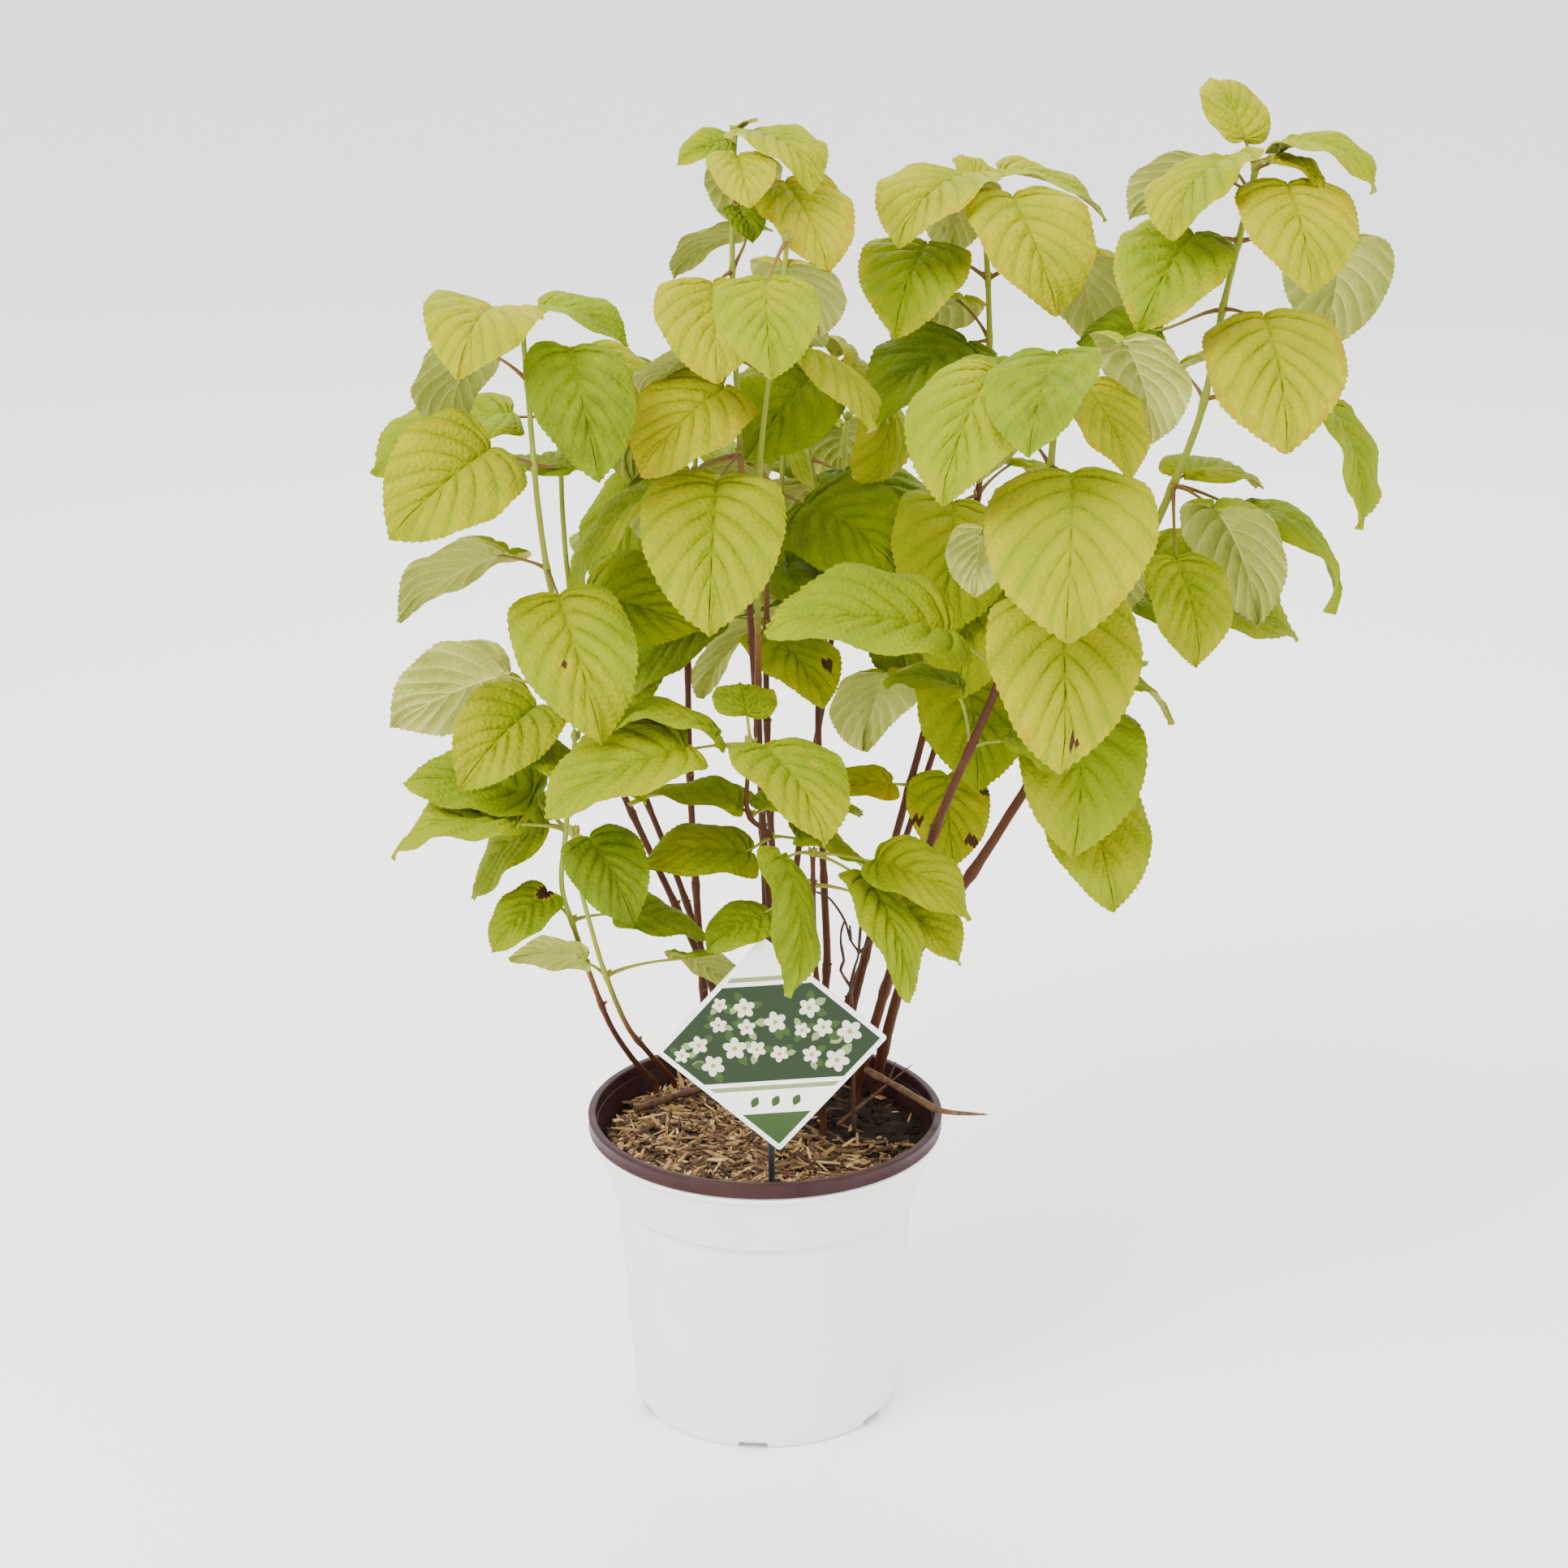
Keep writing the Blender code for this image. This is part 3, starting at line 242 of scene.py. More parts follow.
# Leaf pairs seen in the picture: cane, then node height and its leaves.
# A leaf is (stalk x, y, z, blade length, bearing, droop, roll, arch, share of the usual width),
# the last three optional.
# Bearing 0 points to +X and -90 to the front; a positive roll turns the face to the front
# on a leaf that points left.
LEAVES = {
    "left_low_a": (
        (452, ((-4, -2, 2, 46, 152, -18, 0),)),
        (414, ((-28, -12, 9, 90, 172, 14, 4, 50), (-20, 12, 18, 86, 168, -4, 20),
               (-12, 18, 0, 84, 154, 44, 34))),
        (345, ((-14, -12, 24, 54, -140, 34, 20, 34, 0.86), (27, 6, 4, 70, 18, 22, -16, 44))),
    ),
    "left_low_b": (
        (418, ((10, -10, 2, 68, -54, 34, -20, 34, 0.9),)),
        (308, ((-12, -5, 14, 50, 178, 2, -50), (50, 6, 12, 60, 40, 44, 20))),
    ),
    "left_tall": (
        (722, ((-14, -10, 12, 86, -104, 16, 6, 76), (10, 10, 10, 60, -8, 20, 0, 44))),
        (690, ((-28, 4, 22, 78, 130, 58, 0), (27, -16, 22, 92, -76, 46, 0, 34, 0.86))),
        (637, ((-25, -10, 14, 94, -132, 24, 38), (22, 14, -6, 84, 120, 10, 0))),
        (572, ((-23, 6, 9, 88, 168, 33, -30), (8, -18, -12, 104, -68, 44, -14, 34, 0.84))),
        (474, ((-50, 12, 24, 90, 172, 27, -66), (-32, -18, 12, 82, -130, 24, 26, 34, 0.88))),
    ),
    "left_back": (
        (676, ((60, -2, 2, 90, 128, 70, 0),)),
        (640, ((-30, -10, 6, 98, -166, 18, 8),)),
        (533, ((12, -8, -4, 88, -32, 8, -48),)),
    ),
    "centre_tall": (
        (830, ((9, -3, 0, 70, -50, 22, 0, 64), (-4, -2, -4, 36, -162, 18, 30), (4, 0, 3, 14, -40, -24, 0))),
        (806, ((8, 8, 4, 62, 98, 46, 0),)),
        (788, ((31, -12, 14, 74, -64, 36, 0), (3, -6, -2, 30, -66, 34, 0))),
        (746, ((-12, -14, -4, 86, -86, 30, 0), (12, 26, 22, 70, 150, 30, -16))),
        (700, ((-6, -22, -20, 84, -135, 30, 20),)),
        (632, ((-14, -48, -4, 108, -92, 44, 0), (-46, 4, -18, 104, 182, 47, 0),
               (-40, 28, -18, 80, 138, 46, -18))),
    ),
    "centre_front": (
        (776, ((-2, 8, -14, 70, 62, 50, 0), (-12, -20, -19, 76, -90, 36, 0))),
        (690, ((14, -10, 20, 82, -46, 28, 20, 60),)),
    ),
    "centre_back": (
        (648, ((16, -10, 18, 86, -124, 24, 28),)),
        (587, ((15, -14, -3, 96, -44, 14, -28),)),
        (540, ((12, -6, 2, 104, -14, 0, -14),)),
        (500, ((-4, -24, 2, 78, -76, 16, 0), (-32, 4, 7, 84, 180, 40, 20))),
    ),
    "mid_back": (
        (638, ((30, -4, 34, 112, -76, 44, 58, 70),)),
        (600, ((20, -14, -6, 96, -46, 27, 3),)),
    ),
    "right_mid": (
        (788, ((1, 2, 2, 32, 120, -28, 0), (12, 12, 7, 76, -10, 22, 0, 44))),
        (772, ((-12, -6, 22, 86, -126, 22, 0, 56), (16, -28, 14, 90, -72, 42, 0),
               (-8, 12, 16, 62, 112, 58, 0))),
        (730, ((-38, -12, 24, 86, -112, 28, 8), (58, 16, 16, 78, 74, 60, 0))),
        (691, ((-16, 8, 26, 68, 138, 38, -18), (-14, -4, 0, 90, -146, 24, 18))),
        (591, ((-18, -12, 0, 100, -106, 47, 28),)),
        (545, ((8, -14, 6, 98, -106, 47, 0),)),
        (484, ((-36, 8, -10, 82, 104, 56, 0), (14, -10, -2, 88, -88, 46, 18))),
        (402, ((-12, -12, 6, 62, -170, 4, 12), (23, 8, 8, 70, -70, 40, 0))),
    ),
    "right_front": (
        (704, ((-38, -8, 8, 98, -118, 42, 0), (-2, -15, 18, 82, -108, 34, -10), (38, 6, 22, 82, 52, 60, 0))),
        (676, ((20, 26, 20, 70, -62, 44, 0), (-24, 20, 26, 60, 150, 10, 0))),
        (652, ((13, -20, 2, 118, -84, 40, 0),)),
        (612, ((-34, 30, -4, 50, 100, 74, 0),)),
        (586, ((13, -22, -6, 118, -87, 45, 0),)),
        (520, ((-32, -15, 32, 118, -161, -6, 24),)),
        (470, ((-6, -10, 40, 50, 174, -8, 0),)),
    ),
    "right_tall": (
        (810, ((-6, 5, 18, 54, 116, -38, 0), (13, -4, 14, 72, -26, 16, 0, 72),
               (3, -6, 6, 46, -35, 14, 0, 50))),
        (796, ((-12, -8, 22, 82, -130, 28, -16, 50), (19, -22, 10, 88, -84, 35, 0),
               (-24, 14, 10, 70, 168, 28, -30))),
        (768, ((-28, -9, 6, 90, -120, 28, 12), (64, 10, -2, 84, 86, 62, 0))),
        (727, ((22, -20, 0, 106, -82, 37, 0), (-34, 22, -18, 54, 178, 4, 40))),
        (672, ((72, -4, 0, 88, -66, 52, 35),)),
        (618, ((22, -30, -4, 94, 30, 62, 30, 34, 0.85), (8, 18, 4, 76, 38, 14, 0),
               (45, 12, -18, 104, -4, 46, -5, 100, 0.72), (-2, -44, -34, 70, -62, 60, 0))),
        (548, ((8, 24, -2, 116, 2, 18, -24),)),
        (478, ((0, -26, 0, 96, -90, 48, 0),)),
        (430, ((32, -16, -4, 88, -82, 38, 0),)),
    ),
    "front_low_a": (
        (400, ((-20, -34, 12, 94, -80, 48, 56, 34, 0.74), (31, -15, -8, 92, -66, 40, 22, 34, 0.76),
               (38, -16, 2, 72, -14, 24, -22))),
        (378, ((42, -2, -8, 66, -20, 34, -4), (-28, -8, -14, 48, -150, 22, 14))),
    ),
    "front_low_b": (
        (476, ((-38, -10, 2, 98, -161, 20, 18), (10, -16, 4, 86, -62, 25, 0), (-2, 18, 14, 50, 96, -6, 0))),
        (462, ((-20, 4, 16, 76, 194, -6, 0, 56), (6, -2, 10, 44, -20, 8, 0))),
        (424, ((-6, 8, 4, 76, 166, 2, 0), (4, 10, 4, 74, 60, 12, 0))),
        (404, ((-12, -12, -6, 74, -168, -2, 14), (12, -10, 0, 66, -34, 24, 0))),
    ),
}

# Canes that only the growing rule fills: lowest node, highest node and bearing of the first pair
RULE_CANES = {"rear_left": (492, 628, 52), "rear_mid": (474, 608, -6), "rear_right": (470, 556, 40)}
RULE_SPACING = 40.0
RULE_LENGTH = (74.0, 104.0)
RULE_DROOP = (14.0, 52.0)
RULE_STALK = (26.0, 40.0)
RULE_RISE = (14.0, 34.0)  # degrees that a stalk of the rule climbs
RULE_SWING = 16.0
RULE_ROLL = 14.0

# A leaf's hidden mate across the node: size as a share of the leaf's, least size, and how it hangs
MATE_SHARE = 0.86
MATE_LEAST = 40.0
MATE_SWING = 24.0
MATE_RISE = 24.0
MATE_DROOP = (20.0, 48.0)
MATE_ROOM = 12.0  # no mate grows this close above the foot of a mass
FALLEN_MATES = (("left_back", 533), ("mid_back", 600), ("right_front", 612))

# Old wood: name, places (x, y, height above the soil), foot and tip radius
STUB_STEP = 30.0
STUBS = {
    "pruned_branch": (((66.75, 39.4, 27.6), (84, 14, 28.4), (100, -9, 28), (114, -22, 26), (137, -27, 26)),
                      2.6, 0.9),
    "lying_stub": (((-86, 26, 3.0), (-66, 39, 4.4), (-43, 52, 6.0)), 2.6, 2.3),
    "thin_spur": (((47, 9, 1.8), (62, 18, 11), (92, 34, 30)), 1.6, 0.9),
    "old_twig": (((58, 2, 0.6), (55, -4, 116), (50, -10, 146), (60, -8, 174)), 1.6, 1.0),
}

# Finer shapes of the old wood: the loops of the twig's thin end, and a side shoot cut short
STUB_LIFT = 2.6  # the lying stub rests on the chips
TWIG_GIRTH = 1.15
TWIG_LOOPS = (
    ((55, -4, 289), (57.8, -5, 304), (59.9, -6, 313), (54.7, -6, 322), (50.6, -6, 336), (41.3, -8, 351),
     (33, -12, 357)),
    ((55, -4, 289), (48.5, -3, 300), (50.6, -2, 306), (48.5, -2, 319), (49, -4, 328), (50.8, -6, 335)),
    ((59.9, -6, 313), (60.9, -8, 330), (61.5, -9, 341)),
    ((59.9, -6, 313), (66, -3, 319), (67.5, -2, 331)),
    ((54.7, -6, 322), (54.2, -9, 333)),
)
CUT_STUB_CANE = "right_tall"
CUT_STUB = ((97, 25.4, 297), (99.5, 18, 314), (106, 8, 332))
CUT_STUB_GIRTH = 2.1
CUT_STUB_PALER = 0.3
OLD_WOOD_TINTS = (("old_wood_dark", (74, 48, 32)), ("old_wood_red", (92, 62, 42)),
                  ("old_wood_tan", (112, 82, 54)))
OLD_WOOD_PICKS = {"pruned_branch": 2, "lying_stub": 1, "thin_spur": 1, "old_twig": 0}
BRANCH_GIRTHS = (2.5, 1.4, 0.4)  # of the pruned branch: at its foot, lost up to its end, at its point
TWIG_TAPER = 0.35
KNOTS = (0.22, 17, 7)  # swell of the knots of old wood, and the paces of their two waves
LEAST_GIRTH = 0.25

# Fine leaf: half outline as shares of the length, from the notch at the stalk to the tip
OUTLINE = ((0.0, 0.0), (-0.032, 0.066), (-0.052, 0.152), (-0.036, 0.25), (0.04, 0.332), (0.17, 0.383),
           (0.32, 0.398), (0.47, 0.388), (0.61, 0.347), (0.73, 0.283), (0.825, 0.205), (0.90, 0.125),
           (0.95, 0.058), (0.978, 0.022), (1.0, 0.0))
VEIN_FEET = (0.004, 0.03, 0.12, 0.235, 0.36, 0.50, 0.65)  # where side veins leave the midrib
VEIN_ENDS = (0.22, 0.38, 0.53, 0.66, 0.77, 0.86, 0.93)  # where they meet the margin, along it
SEGMENT_ROWS = (10, 8, 8, 8, 6, 6, 4, 4)  # rows of faces between two veins
VEIN_SHARE = 0.05  # half width of a vein, as a share of the room between two
COLUMNS = (0.0, 0.028, 0.09, 0.17, 0.26, 0.36, 0.46, 0.56, 0.66, 0.76, 0.85, 0.93, 1.0)
ROW_BOW = 0.05
TOOTH = 0.0042  # half height of a tooth at the margin
QUILT = 0.0245  # how far the blade bulges between its veins
PUCKER = 0.75
BLADE_SKIN = 0.5
VEIN_RIDGE = 0.42
MIDRIB_RIDGE = 0.75
MARGIN_WAVE = 0.026
TWIST = 14.0  # most that a blade turns about its midrib, in degrees
SWEEP = 0.07  # most that its midrib bends aside
TIP_HOOK = 0.09  # most that the tip hooks down
SIDE_CURL = (-0.02, 0.055)  # how far a side rolls up or down at the margin
LIVES = (1.0, 1.0, 0.7, 0.7, 0.4, 0.4, 0.0)  # shares of these that a leaf tries in turn
FOLD = (0.2, 2.1)  # how much of the cup a blade takes
WIDTH_SPREAD = (0.94, 1.06)  # share of the usual width that a blade has
VIGOUR = (0.8, 1.25)  # share of the usual bulges that it has
WAVE_PACE = (1.6, 2.6)  # waves of the margin from notch to tip
RIM_FALL = (0.022, 1.4)  # how far the last of the margin falls, and the most it takes of that
RIPPLES = 5  # waves in the pattern that varies shapes and tones
BULGE_FOOT = 0.12  # bulges rise within this share of the way to the margin
BULGE_LOSS = 0.75  # and have lost this share of their height at it
TOOTH_WAVES = 9
PUCKER_WAVES = 10
HOOK_FROM = 0.55
LEAF_CREASE = 70  # faces that meet at more degrees than this keep a sharp edge

# Tints, dealt out face by face: numbers of a tone run along these lists
# The darkest keys of the tops are partly painted shade: their deep greens stand for leaves in the shaded
# middle of the crown as well as for the leaves' own green.
TOP_KEYS = ((46, 56, 10), (76, 90, 10), (94, 110, 8), (110, 125, 5), (122, 132, 1), (136, 138, 1),
            (150, 147, 2), (146, 127, 2), (98, 66, 30), (50, 33, 22))
# Undersides are paler than tops: partly their own greyish green, partly painted light shining through the
# blade.
UNDER_KEYS = ((88, 94, 38), (118, 126, 50), (152, 157, 68), (184, 185, 98))
STEM_KEYS = ((48, 27, 18), (74, 42, 25), (98, 62, 35), (112, 80, 42), (112, 106, 40), (130, 138, 44),
             (156, 162, 68))
OCHRE_MOST = 6.7  # tone that an ochre margin ends at
TINT_STEPS = 3  # tints made for each key of a list
VEIN_DARKER = 0.85
VEIN_PALER = 0.5
YELLOW_FROM = 4.2  # a leaf of this tone or more has darker veins, and below the next, paler ones
GREEN_BELOW = 3.6
PATCHES = ((0.52, 1.1), (0.30, 4))  # change of tone in large and small patches, and their number
BULGE_TONE = 0.58  # how much yellower the middle of a bulge is than its foot
SIDE_TONE = (0.45, 0.45)  # how much yellower the margin is than the midrib, and where the change is nil
FRINGE = (0.72, 0.28)  # an ochre margin starts this far out, and grows over this width
BLOTCHES = (0.75, 0.5, 0.3)  # its usual strength, and what large and small blotches change
BURNT_RIM = 2.4
BURNT_SPOTS = 0.5  # ochre away from the margin, which starts and grows as below
BURNT_FIELD = (0.3, 0.4)
BURNT_MOST = 2.2
MARK_TONES = (8.6, 6.4)  # inside of a brown mark, and its rim
DITHER = 0.32
# An underside grows paler with the tone of its top, which is partly painted light shining through higher,
# yellower leaves.
UNDER_TONE = (1.0, 0.30)  # tone of an underside: its least, and its share of the tone of the top
UNDER_VEIN = 0.42
OCHRE_USUAL = 0.06  # ochre margin of a leaf that the table gives none
OCHRE_GAIN = (0.1, 4.0)  # its gain with the tone above the second number, for leaves of the table
OCHRE_HIDDEN = (0.12, 3.6)  # and for the others

# Tone of each leaf in the table above, in its order; a second number is how ochre its margin is
# Low tones on leaves deep inside the crown are partly painted shade, on top of their own darker green.
TONES = {
    "left_low_a": ((3.2,), (3.8, 2.8, 3.0), (2.6, 2.6)),
    "left_low_b": ((1.4,), (2.4, 2.2)),
    "left_tall": ((4.9, 2.8), (3.1, 1.9), (4.8, 2.9), (3.3, 3.9), (4.6, 4.3)),
    "left_back": ((3.2,), (2.9,), (3.3,)),
    "centre_tall": ((4.5, 3.3, 4.0), (4.6,), ((5.6, 0.8), 1.6), ((5.3, 0.2), 4.2), ((5.3, 0.8),),
                    (4.5, 3.4, 3.6)),
    "centre_front": ((5.4, 4.0), ((4.4, 0.5),)),
    "centre_back": ((2.6,), (2.1,), (2.0,), ((4.2, 0.4), 2.4)),
    "mid_back": (((4.5, 0.8),), (2.0,)),
    "right_mid": ((4.9, 4.4), ((4.8, 0.8), (5.4, 0.4), 4.4), ((3.4, 0.9), (4.6, 0.3)), (4.0, 1.7), (4.0,),
                  (4.0,), (3.8, 3.6), ((5.6, 0.5), (4.3, 0.8))),
    "right_front": ((3.9, 2.2, 4.2), ((4.9, 0.7), 2.6), ((4.5, 0.5),), (4.6,), ((4.7, 0.4),), (3.3,), (3.0,)),
    "right_tall": ((5.0, 4.1, (4.9, 0.7)), ((4.4, 0.4), (5.4, 0.5), 4.6), ((3.0, 0.9), 4.1),
                   ((5.2, 0.9), 1.4), (3.4,), (3.4, 3.6, 3.0, 4.0), (3.3,), (3.5,), (3.8,)),
    "front_low_a": ((2.6, 3.6, 3.8), (4.0, 2.4)),
    "front_low_b": ((3.9, 3.8, 3.3), (3.3, 3.8), (3.6, 3.0), (3.8, 3.3)),
}
HIDDEN_TONE = (1.7, 4.6)  # tones at the foot and the top of the crown, for leaves the table lacks
HIDDEN_HEIGHTS = (300, 480)  # height where the first holds, and how far above it the second does
HIDDEN_SPREAD = 0.7

# Brown marks: cane, node height, leaf, then place on the blade (along, across), radius, all as shares
MARKS = (
    ("left_tall", 572, 1, 0.50, -0.10, 0.030), ("left_tall", 572, 1, 0.36, -0.30, 0.012),
    ("right_front", 586, 0, 0.85, 0.06, 0.032), ("centre_back", 500, 0, 0.62, 0.20, 0.060),
    ("right_mid", 772, 1, 0.30, -0.25, 0.012), ("right_mid", 772, 1, 0.12, -0.30, 0.010),
    ("right_mid", 772, 1, 0.55, 0.22, 0.012), ("right_mid", 402, 1, 0.74, 0.20, 0.060),
    ("right_mid", 402, 1, 0.55, -0.30, 0.050), ("right_mid", 402, 1, 0.24, 0.36, 0.045),
    ("left_low_a", 345, 0, 0.02, 0.0, 0.110), ("front_low_a", 378, 0, 0.72, 0.10, 0.014),
    ("right_mid", 402, 0, 0.45, 0.15, 0.016), ("front_low_b", 476, 1, 0.35, 0.20, 0.016),
    ("left_tall", 474, 0, 0.72, -0.22, 0.030),
)

# Canes and stalks
CANE_GRAIN = 6.0  # spacing of the stations along a finished cane
CANE_SIDES = 14
NODE_SWELL = 0.30
NODE_REACH = 4.5
BARE_NODES = (58.0, 74.0)  # spacing of the nodes below the leaves
BARK_TONE = 1.0
GREEN_TONE = 5.0
GREEN_FROM = {"left_low_a": 0.30, "left_low_b": 0.27, "right_tall": 0.56, "right_front": 0.60,
              "centre_tall": 0.62, "right_mid": 0.62}  # height where bark turns green, metres
GREEN_USUAL = 0.52
TURN_ROOM = 0.07
STALK_STATIONS = 9
STALK_SIDES = 8
STALK_GIRTHS = (1.75, 1.05, 0.92, 1.15)
STALK_LIFT = 0.30
STALK_TONES = (2.9, 4.2)  # tone where a stalk starts, high and low on the shrub
STALK_HIGH = 560  # height between the two
STALK_BEND = 0.7  # how much a stalk's end follows the heading of its blade
STALK_RUN = (5.0, 0.9)  # how far it runs on under the blade, and how far below the midrib
STALK_POINT = (0.10, 9.0, 0.6, 0.35)  # share of the blade, most, depth and girth of its thin end
STALK_PALER = 1.3  # how much paler it is at the blade
FOOT_SINK = 3.0  # how far a cane's foot runs into the compost
FOOT_FLARE = 1.15
BARK_STRETCH = 0.30  # the bark's pattern is longer upwards
FLECK_SCALE = 420.0
CANE_BARK = (CANE_SIDES, 0.26, 330.0, 1.6)  # sides, relief, grain and spread of tones
STALK_BARK = (STALK_SIDES, 0.12, 500.0, 1.0)
WOOD_BARK = (12, 0.34, 260.0, 0.0)
WOOD_GRAIN = 4.0  # spacing of the stations along old wood
BUD_SIZE = (4.6, 1.5)
BUD_RINGS = ((0.0, 0.55), (0.22, 1.0), (0.5, 0.86), (0.78, 0.46))
BUD_SIDES = 7
BUD_BARE = (0.6, 1.0)  # range of sizes at a bare node, in the axil of a leaf and at a tip
BUD_AXIL = (0.7, 1.15)
BUD_TIP = (1.2, 1.9)
BUD_TONE = 4.6
BUD_CREASE = 80
TIP_BUDS = 4


def linear(tint):
    """Colour from its usual 0 to 255 numbers to the shader's own scale."""
    out = []
    for value in tint:
        share = value / 255
        out.append(share / 12.92 if share <= 0.04045 else ((share + 0.055) / 1.055) ** 2.4)
    return (*out, 1.0)


class NodeTree:
    """Node tree under construction."""

    def node(self, kind, **values):
        """New node with these settings and inputs. An input's name has _ for each space."""
        made = self.tree.nodes.new(kind)
        for key, value in values.items():
            name = key.replace("_", " ")
            if name in made.inputs:
                self.put(value, made.inputs[name])
            else:
                setattr(made, key, value)
        return made

    def put(self, value, socket):
        """Joins another socket to this one, or gives it a plain value."""
        if isinstance(value, bpy.types.NodeSocket):
            self.tree.links.new(value, socket)
        else:
            socket.default_value = value


class Finish(NodeTree):
    """Principled material, with short calls for its patterns."""

    def __init__(self, name, tint, roughness, specular=0.5):
        self.mat = bpy.data.materials.new(name)
        self.mat.use_nodes = True
        self.tree = self.mat.node_tree
        self.shader = self.tree.nodes["Principled BSDF"]
        self.shader.inputs["Base Color"].default_value = linear(tint)
        self.shader.inputs["Roughness"].default_value = roughness
        self.shader.inputs["Specular IOR Level"].default_value = specular

    def place(self, stretch=(1.0, 1.0, 1.0)):
        """Object coordinates, stretched along the axes."""
        coords = self.node("ShaderNodeTexCoord")
        made = self.node("ShaderNodeMapping", Vector=coords.outputs["Object"], Scale=stretch)
        return made.outputs["Vector"]

    def noise(self, scale, detail=3.0, stretch=(1.0, 1.0, 1.0), roughness=0.55):
        made = self.node("ShaderNodeTexNoise", Vector=self.place(stretch), Scale=scale, Detail=detail,
                         Roughness=roughness)
        return made.outputs["Fac"]

    def net(self, scale):
        """Distance to the border of irregular cells."""
        made = self.node("ShaderNodeTexVoronoi", feature="DISTANCE_TO_EDGE", Vector=self.place(), Scale=scale)
        return made.outputs["Distance"]

    def colour(self, source, stops):
        made = self.node("ShaderNodeValToRGB", Fac=source)
        band = made.color_ramp
        while len(band.elements) < len(stops):
            band.elements.new(0.5)
        for element, (at, tint) in zip(band.elements, stops):
            element.position = at
            element.color = linear(tint)
        self.put(made.outputs["Color"], self.shader.inputs["Base Color"])

    def sheen_range(self, source, low, high):
        """Roughness that varies between two values."""
        made = self.node("ShaderNodeMapRange", Value=source, To_Min=low, To_Max=high)
        self.put(made.outputs["Result"], self.shader.inputs["Roughness"])

    def bump(self, source, strength, distance):
        made = self.node("ShaderNodeBump", Height=source, Strength=strength, Distance=distance)
        last = self.shader.inputs["Normal"]
        if last.is_linked:
            self.put(last.links[0].from_socket, made.inputs["Normal"])
        self.put(made.outputs["Normal"], last)


def between(keys, step):
    """Tint at a step along a list of keys."""
    place = min(step / TINT_STEPS, len(keys) - 1)
    low = min(int(place), len(keys) - 2)
    share = place - low
    return tuple(a + (b - a) * share for a, b in zip(keys[low], keys[low + 1]))


def tint_count(keys):
    return (len(keys) - 1) * TINT_STEPS + 1


def leaf_top_finish(step):
    made = Finish("leaf_top_%02d" % step, between(TOP_KEYS, step), 0.60, 0.05)
    made.bump(made.net(230.0), 0.9, 0.0016)
    made.bump(made.noise(700.0, 3.0), 0.25, 0.0004)
    return made.mat


def leaf_under_finish(step):
    made = Finish("leaf_under_%02d" % step, between(UNDER_KEYS, step), 0.80, 0.04)
    made.bump(made.net(230.0), 0.7, 0.0012)
    made.bump(made.noise(1400.0, 2.0), 0.12, 0.0003)
    return made.mat


def stem_finish(step):
    made = Finish("stem_%02d" % step, between(STEM_KEYS, step), 0.60, 0.12)
    made.bump(made.noise(700.0, 4.0, (1.0, 1.0, 0.14)), 0.30, 0.0005)
    return made.mat


def pot_finish():
    made = Finish("pot_white_plastic", (233, 232, 229), 0.36, 0.30)
    made.colour(made.noise(9.0, 5.0, (1.0, 1.0, 0.5)), ((0.30, (228, 226, 222)), (0.62, (238, 237, 234))))
    made.sheen_range(made.noise(46.0, 4.0), 0.28, 0.44)
    made.bump(made.noise(520.0, 3.0), 0.06, 0.0004)
    return made.mat


def lining_finish():
    made = Finish("pot_brown_plastic", (50, 29, 29), 0.46, 0.12)
    made.colour(made.noise(30.0, 5.0), ((0.32, (44, 25, 25)), (0.68, (57, 34, 34))))
    made.sheen_range(made.noise(80.0, 4.0), 0.32, 0.55)
    made.bump(made.noise(700.0, 3.0), 0.08, 0.0004)
    return made.mat


def compost_finish():
    made = Finish("compost", (31, 23, 17), 0.95, 0.2)
    made.colour(made.noise(190.0, 6.0, roughness=0.7), ((0.30, (17, 12, 9)), (0.52, (34, 25, 18)),
                                                       (0.74, (62, 44, 30))))
    made.bump(made.noise(420.0, 6.0), 0.7, 0.002)
    return made.mat


def chip_finish(name, tint):
    made = Finish(name, tint, 0.82, 0.25)
    dark = tuple(value * 0.66 for value in tint)
    made.colour(made.noise(330.0, 5.0, roughness=0.7), ((0.30, dark), (0.60, tint)))
    made.bump(made.noise(900.0, 4.0, (1.0, 0.25, 1.0)), 0.35, 0.0008)
    return made.mat


def lump_finish():
    made = Finish("dark_lump", (32, 22, 17), 0.95, 0.2)
    made.colour(made.noise(260.0, 5.0), ((0.3, (18, 12, 9)), (0.7, (50, 35, 25))))
    made.bump(made.noise(600.0, 5.0), 0.6, 0.0015)
    return made.mat


def card_finish(name, tint, specular=0.35):
    """Coated card or ink on it."""
    made = Finish(name, tint, 0.34, specular)
    made.sheen_range(made.noise(120.0, 3.0), 0.30, 0.44)
    made.bump(made.noise(1600.0, 2.0), 0.04, 0.0002)
    return made.mat


def stick_finish():
    made = Finish("tag_stick_plastic", (30, 33, 36), 0.45, 0.45)
    made.sheen_range(made.noise(160.0, 3.0), 0.36, 0.56)
    made.bump(made.noise(900.0, 3.0), 0.08, 0.0003)
    return made.mat


def old_wood_finish(name, tint):
    made = Finish(name, tint, 0.72, 0.3)
    dark = tuple(value * 0.6 for value in tint)
    made.colour(made.noise(260.0, 5.0, (1.0, 1.0, 0.5)), ((0.32, dark), (0.66, tint)))
    made.bump(made.noise(600.0, 5.0, (1.0, 1.0, 0.3)), 0.5, 0.0008)
    return made.mat


def in_scene(name, data):
    """Object of the data, linked to the scene."""
    obj = bpy.data.objects.new(name, data)
    bpy.context.scene.collection.objects.link(obj)
    return obj


